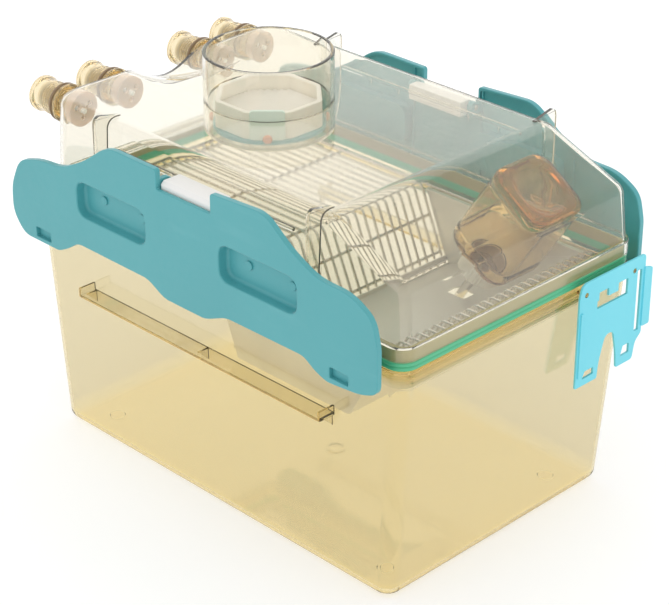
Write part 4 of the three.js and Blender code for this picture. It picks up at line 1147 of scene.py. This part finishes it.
def make_filter():
    filter_seat()
    low, high = extent("filter_housing")
    base, top, flat_r = low.z, high.z, high.x
    cover = plate(smooth_outline(octagon(flat_r), 4), "Z", base, top, 0.4, 1.0)
    hollow = plate(smooth_outline(octagon(flat_r - 2), 4), "Z", base - 1, top - 2, 0, 1.2)
    mouth = stacked(smooth_outline(octagon(CARTRIDGE_MOUTH), 4), "Z", [
        (top - 4, 0), (top - 0.7, 0), (top + 0.02, -0.7), (top + 1, -0.7),
    ])
    piece(carve(cover, hollow, mouth), "filter_cartridge", CREAM, "filter", "filter_housing")
    low, high = extent("filter_media")
    make_pleats(flat_r - 2.6, low.z, high.z)
    tab_top = extent("filter_clip")[1].z
    tab = smooth_outline([(-14, base), (14, base), (14, tab_top), (-14, tab_top)], 3)
    clip = plate(tab, "Y", FILTER_Y - flat_r - 3.3, FILTER_Y - flat_r - 0.4, 0.6, 0.3)
    turned_about(clip, CARTRIDGE_TURN)
    piece(clip, "filter_tab", TAB, "filter", "filter_clip")
    for index, angle in enumerate((0, 90, 180, 270), 1):
        filter_stud(index, CARTRIDGE_TURN + angle)


def turned_about(obj, degrees):
    """Turns a solid about the collar's axis."""
    axis = to_row((0, FILTER_Y, 0))
    obj.data.transform(Matrix.Translation(axis) @ Matrix.Rotation(math.radians(degrees), 4, "Z")
                       @ Matrix.Translation(-axis))


def make_pleats(flat_r, low, high):
    """Pleated paper, trimmed to the cartridge's eight sides."""
    pitch = 4.2
    folds = int(flat_r * 2 / pitch)
    top, bottom = [], []
    for i in range(folds * 2 + 1):
        x = -flat_r - 1 + (flat_r * 2 + 2) * i / (folds * 2)
        top.append((x, high if i % 2 else high - 3))
        bottom.append((x, low + 3 if i % 2 else low))
    sheet = prism(top + bottom[::-1], "Y", FILTER_Y - flat_r - 1, FILTER_Y + flat_r + 1)
    trimmed = combine(sheet, [prism(octagon(flat_r), "Z", low - 1, high + 1)], "INTERSECT")
    piece(trimmed, "filter_paper", CLOTH, "filter", "filter_media")


# ---- Stage, light and camera ----
FLOOR_HALF = 12.0
WORLD_STRENGTH = 0.9


def make_stage():
    mesh = bpy.data.meshes.new("floor")
    corners = [(-FLOOR_HALF, -FLOOR_HALF, 0), (FLOOR_HALF, -FLOOR_HALF, 0),
               (FLOOR_HALF, FLOOR_HALF, 0), (-FLOOR_HALF, FLOOR_HALF, 0)]
    mesh.from_pydata(corners, [], [(0, 1, 2, 3)])
    floor = linked("floor", mesh)
    g = Graph("floor")
    g.link(g.blend(g.noise(1.2, 2), (0.7, 0.7, 0.7), (0.68, 0.68, 0.68)), g.shader.inputs["Base Color"])
    g.set(Roughness=0.9, Emission_Color=(1.0, 1.0, 1.0), Emission_Strength=0.42)
    mesh.materials.append(g.material)


def area_light(name, place, aim, size, power):
    data = bpy.data.lights.new(name, "AREA")
    data.shape = "RECTANGLE"
    data.size, data.size_y = size
    data.energy = power
    light = linked(name, data)
    light.location = place
    light.rotation_euler = (Vector(aim) - Vector(place)).to_track_quat("-Z", "Y").to_euler()


def make_light():
    world = bpy.data.worlds.new("studio")
    bpy.context.scene.world = world
    world.use_nodes = True
    background = world.node_tree.nodes["Background"]
    background.inputs["Color"].default_value = (1, 1, 1, 1)
    background.inputs["Strength"].default_value = WORLD_STRENGTH
    middle = (0, 0, 0.15)
    area_light("back_box", (1.9, 1.9, 1.7), middle, (5.4, 2.2), 17)
    area_light("left_box", (-2.2, 0.4, 1.3), middle, (1.4, 1.2), 3)
    area_light("front_box", (0.8, -2.4, 1.2), middle, (1.4, 1.0), 2)


def make_camera():
    data = bpy.data.cameras.new("camera")
    data.sensor_width = 36
    data.lens = 112.06
    camera = linked("camera", data)
    camera.location = (-1.081, -1.1053, 0.953)
    camera.rotation_euler = (math.radians(62.21), 0, math.radians(-44.79))
    bpy.context.scene.camera = camera


def set_view():
    bpy.context.scene.view_settings.view_transform = "Standard"
    cycles = bpy.context.scene.cycles
    cycles.max_bounces = 24
    cycles.transmission_bounces = 24
    cycles.transparent_max_bounces = 32
    cycles.caustics_refractive = False
    cycles.caustics_reflective = False


make_camera()
make_light()
make_stage()
set_view()
make_tub()
make_gasket()
make_lid()
make_wire_lid()
make_hopper_pan()
make_bottle()
make_filter()
for index, valve_x in enumerate(VALVE_X, 1):
    make_valve(index, valve_x)
for hand in ("right", "left"):
    make_latch(hand)
    make_hinge(hand)
make_card_holder()
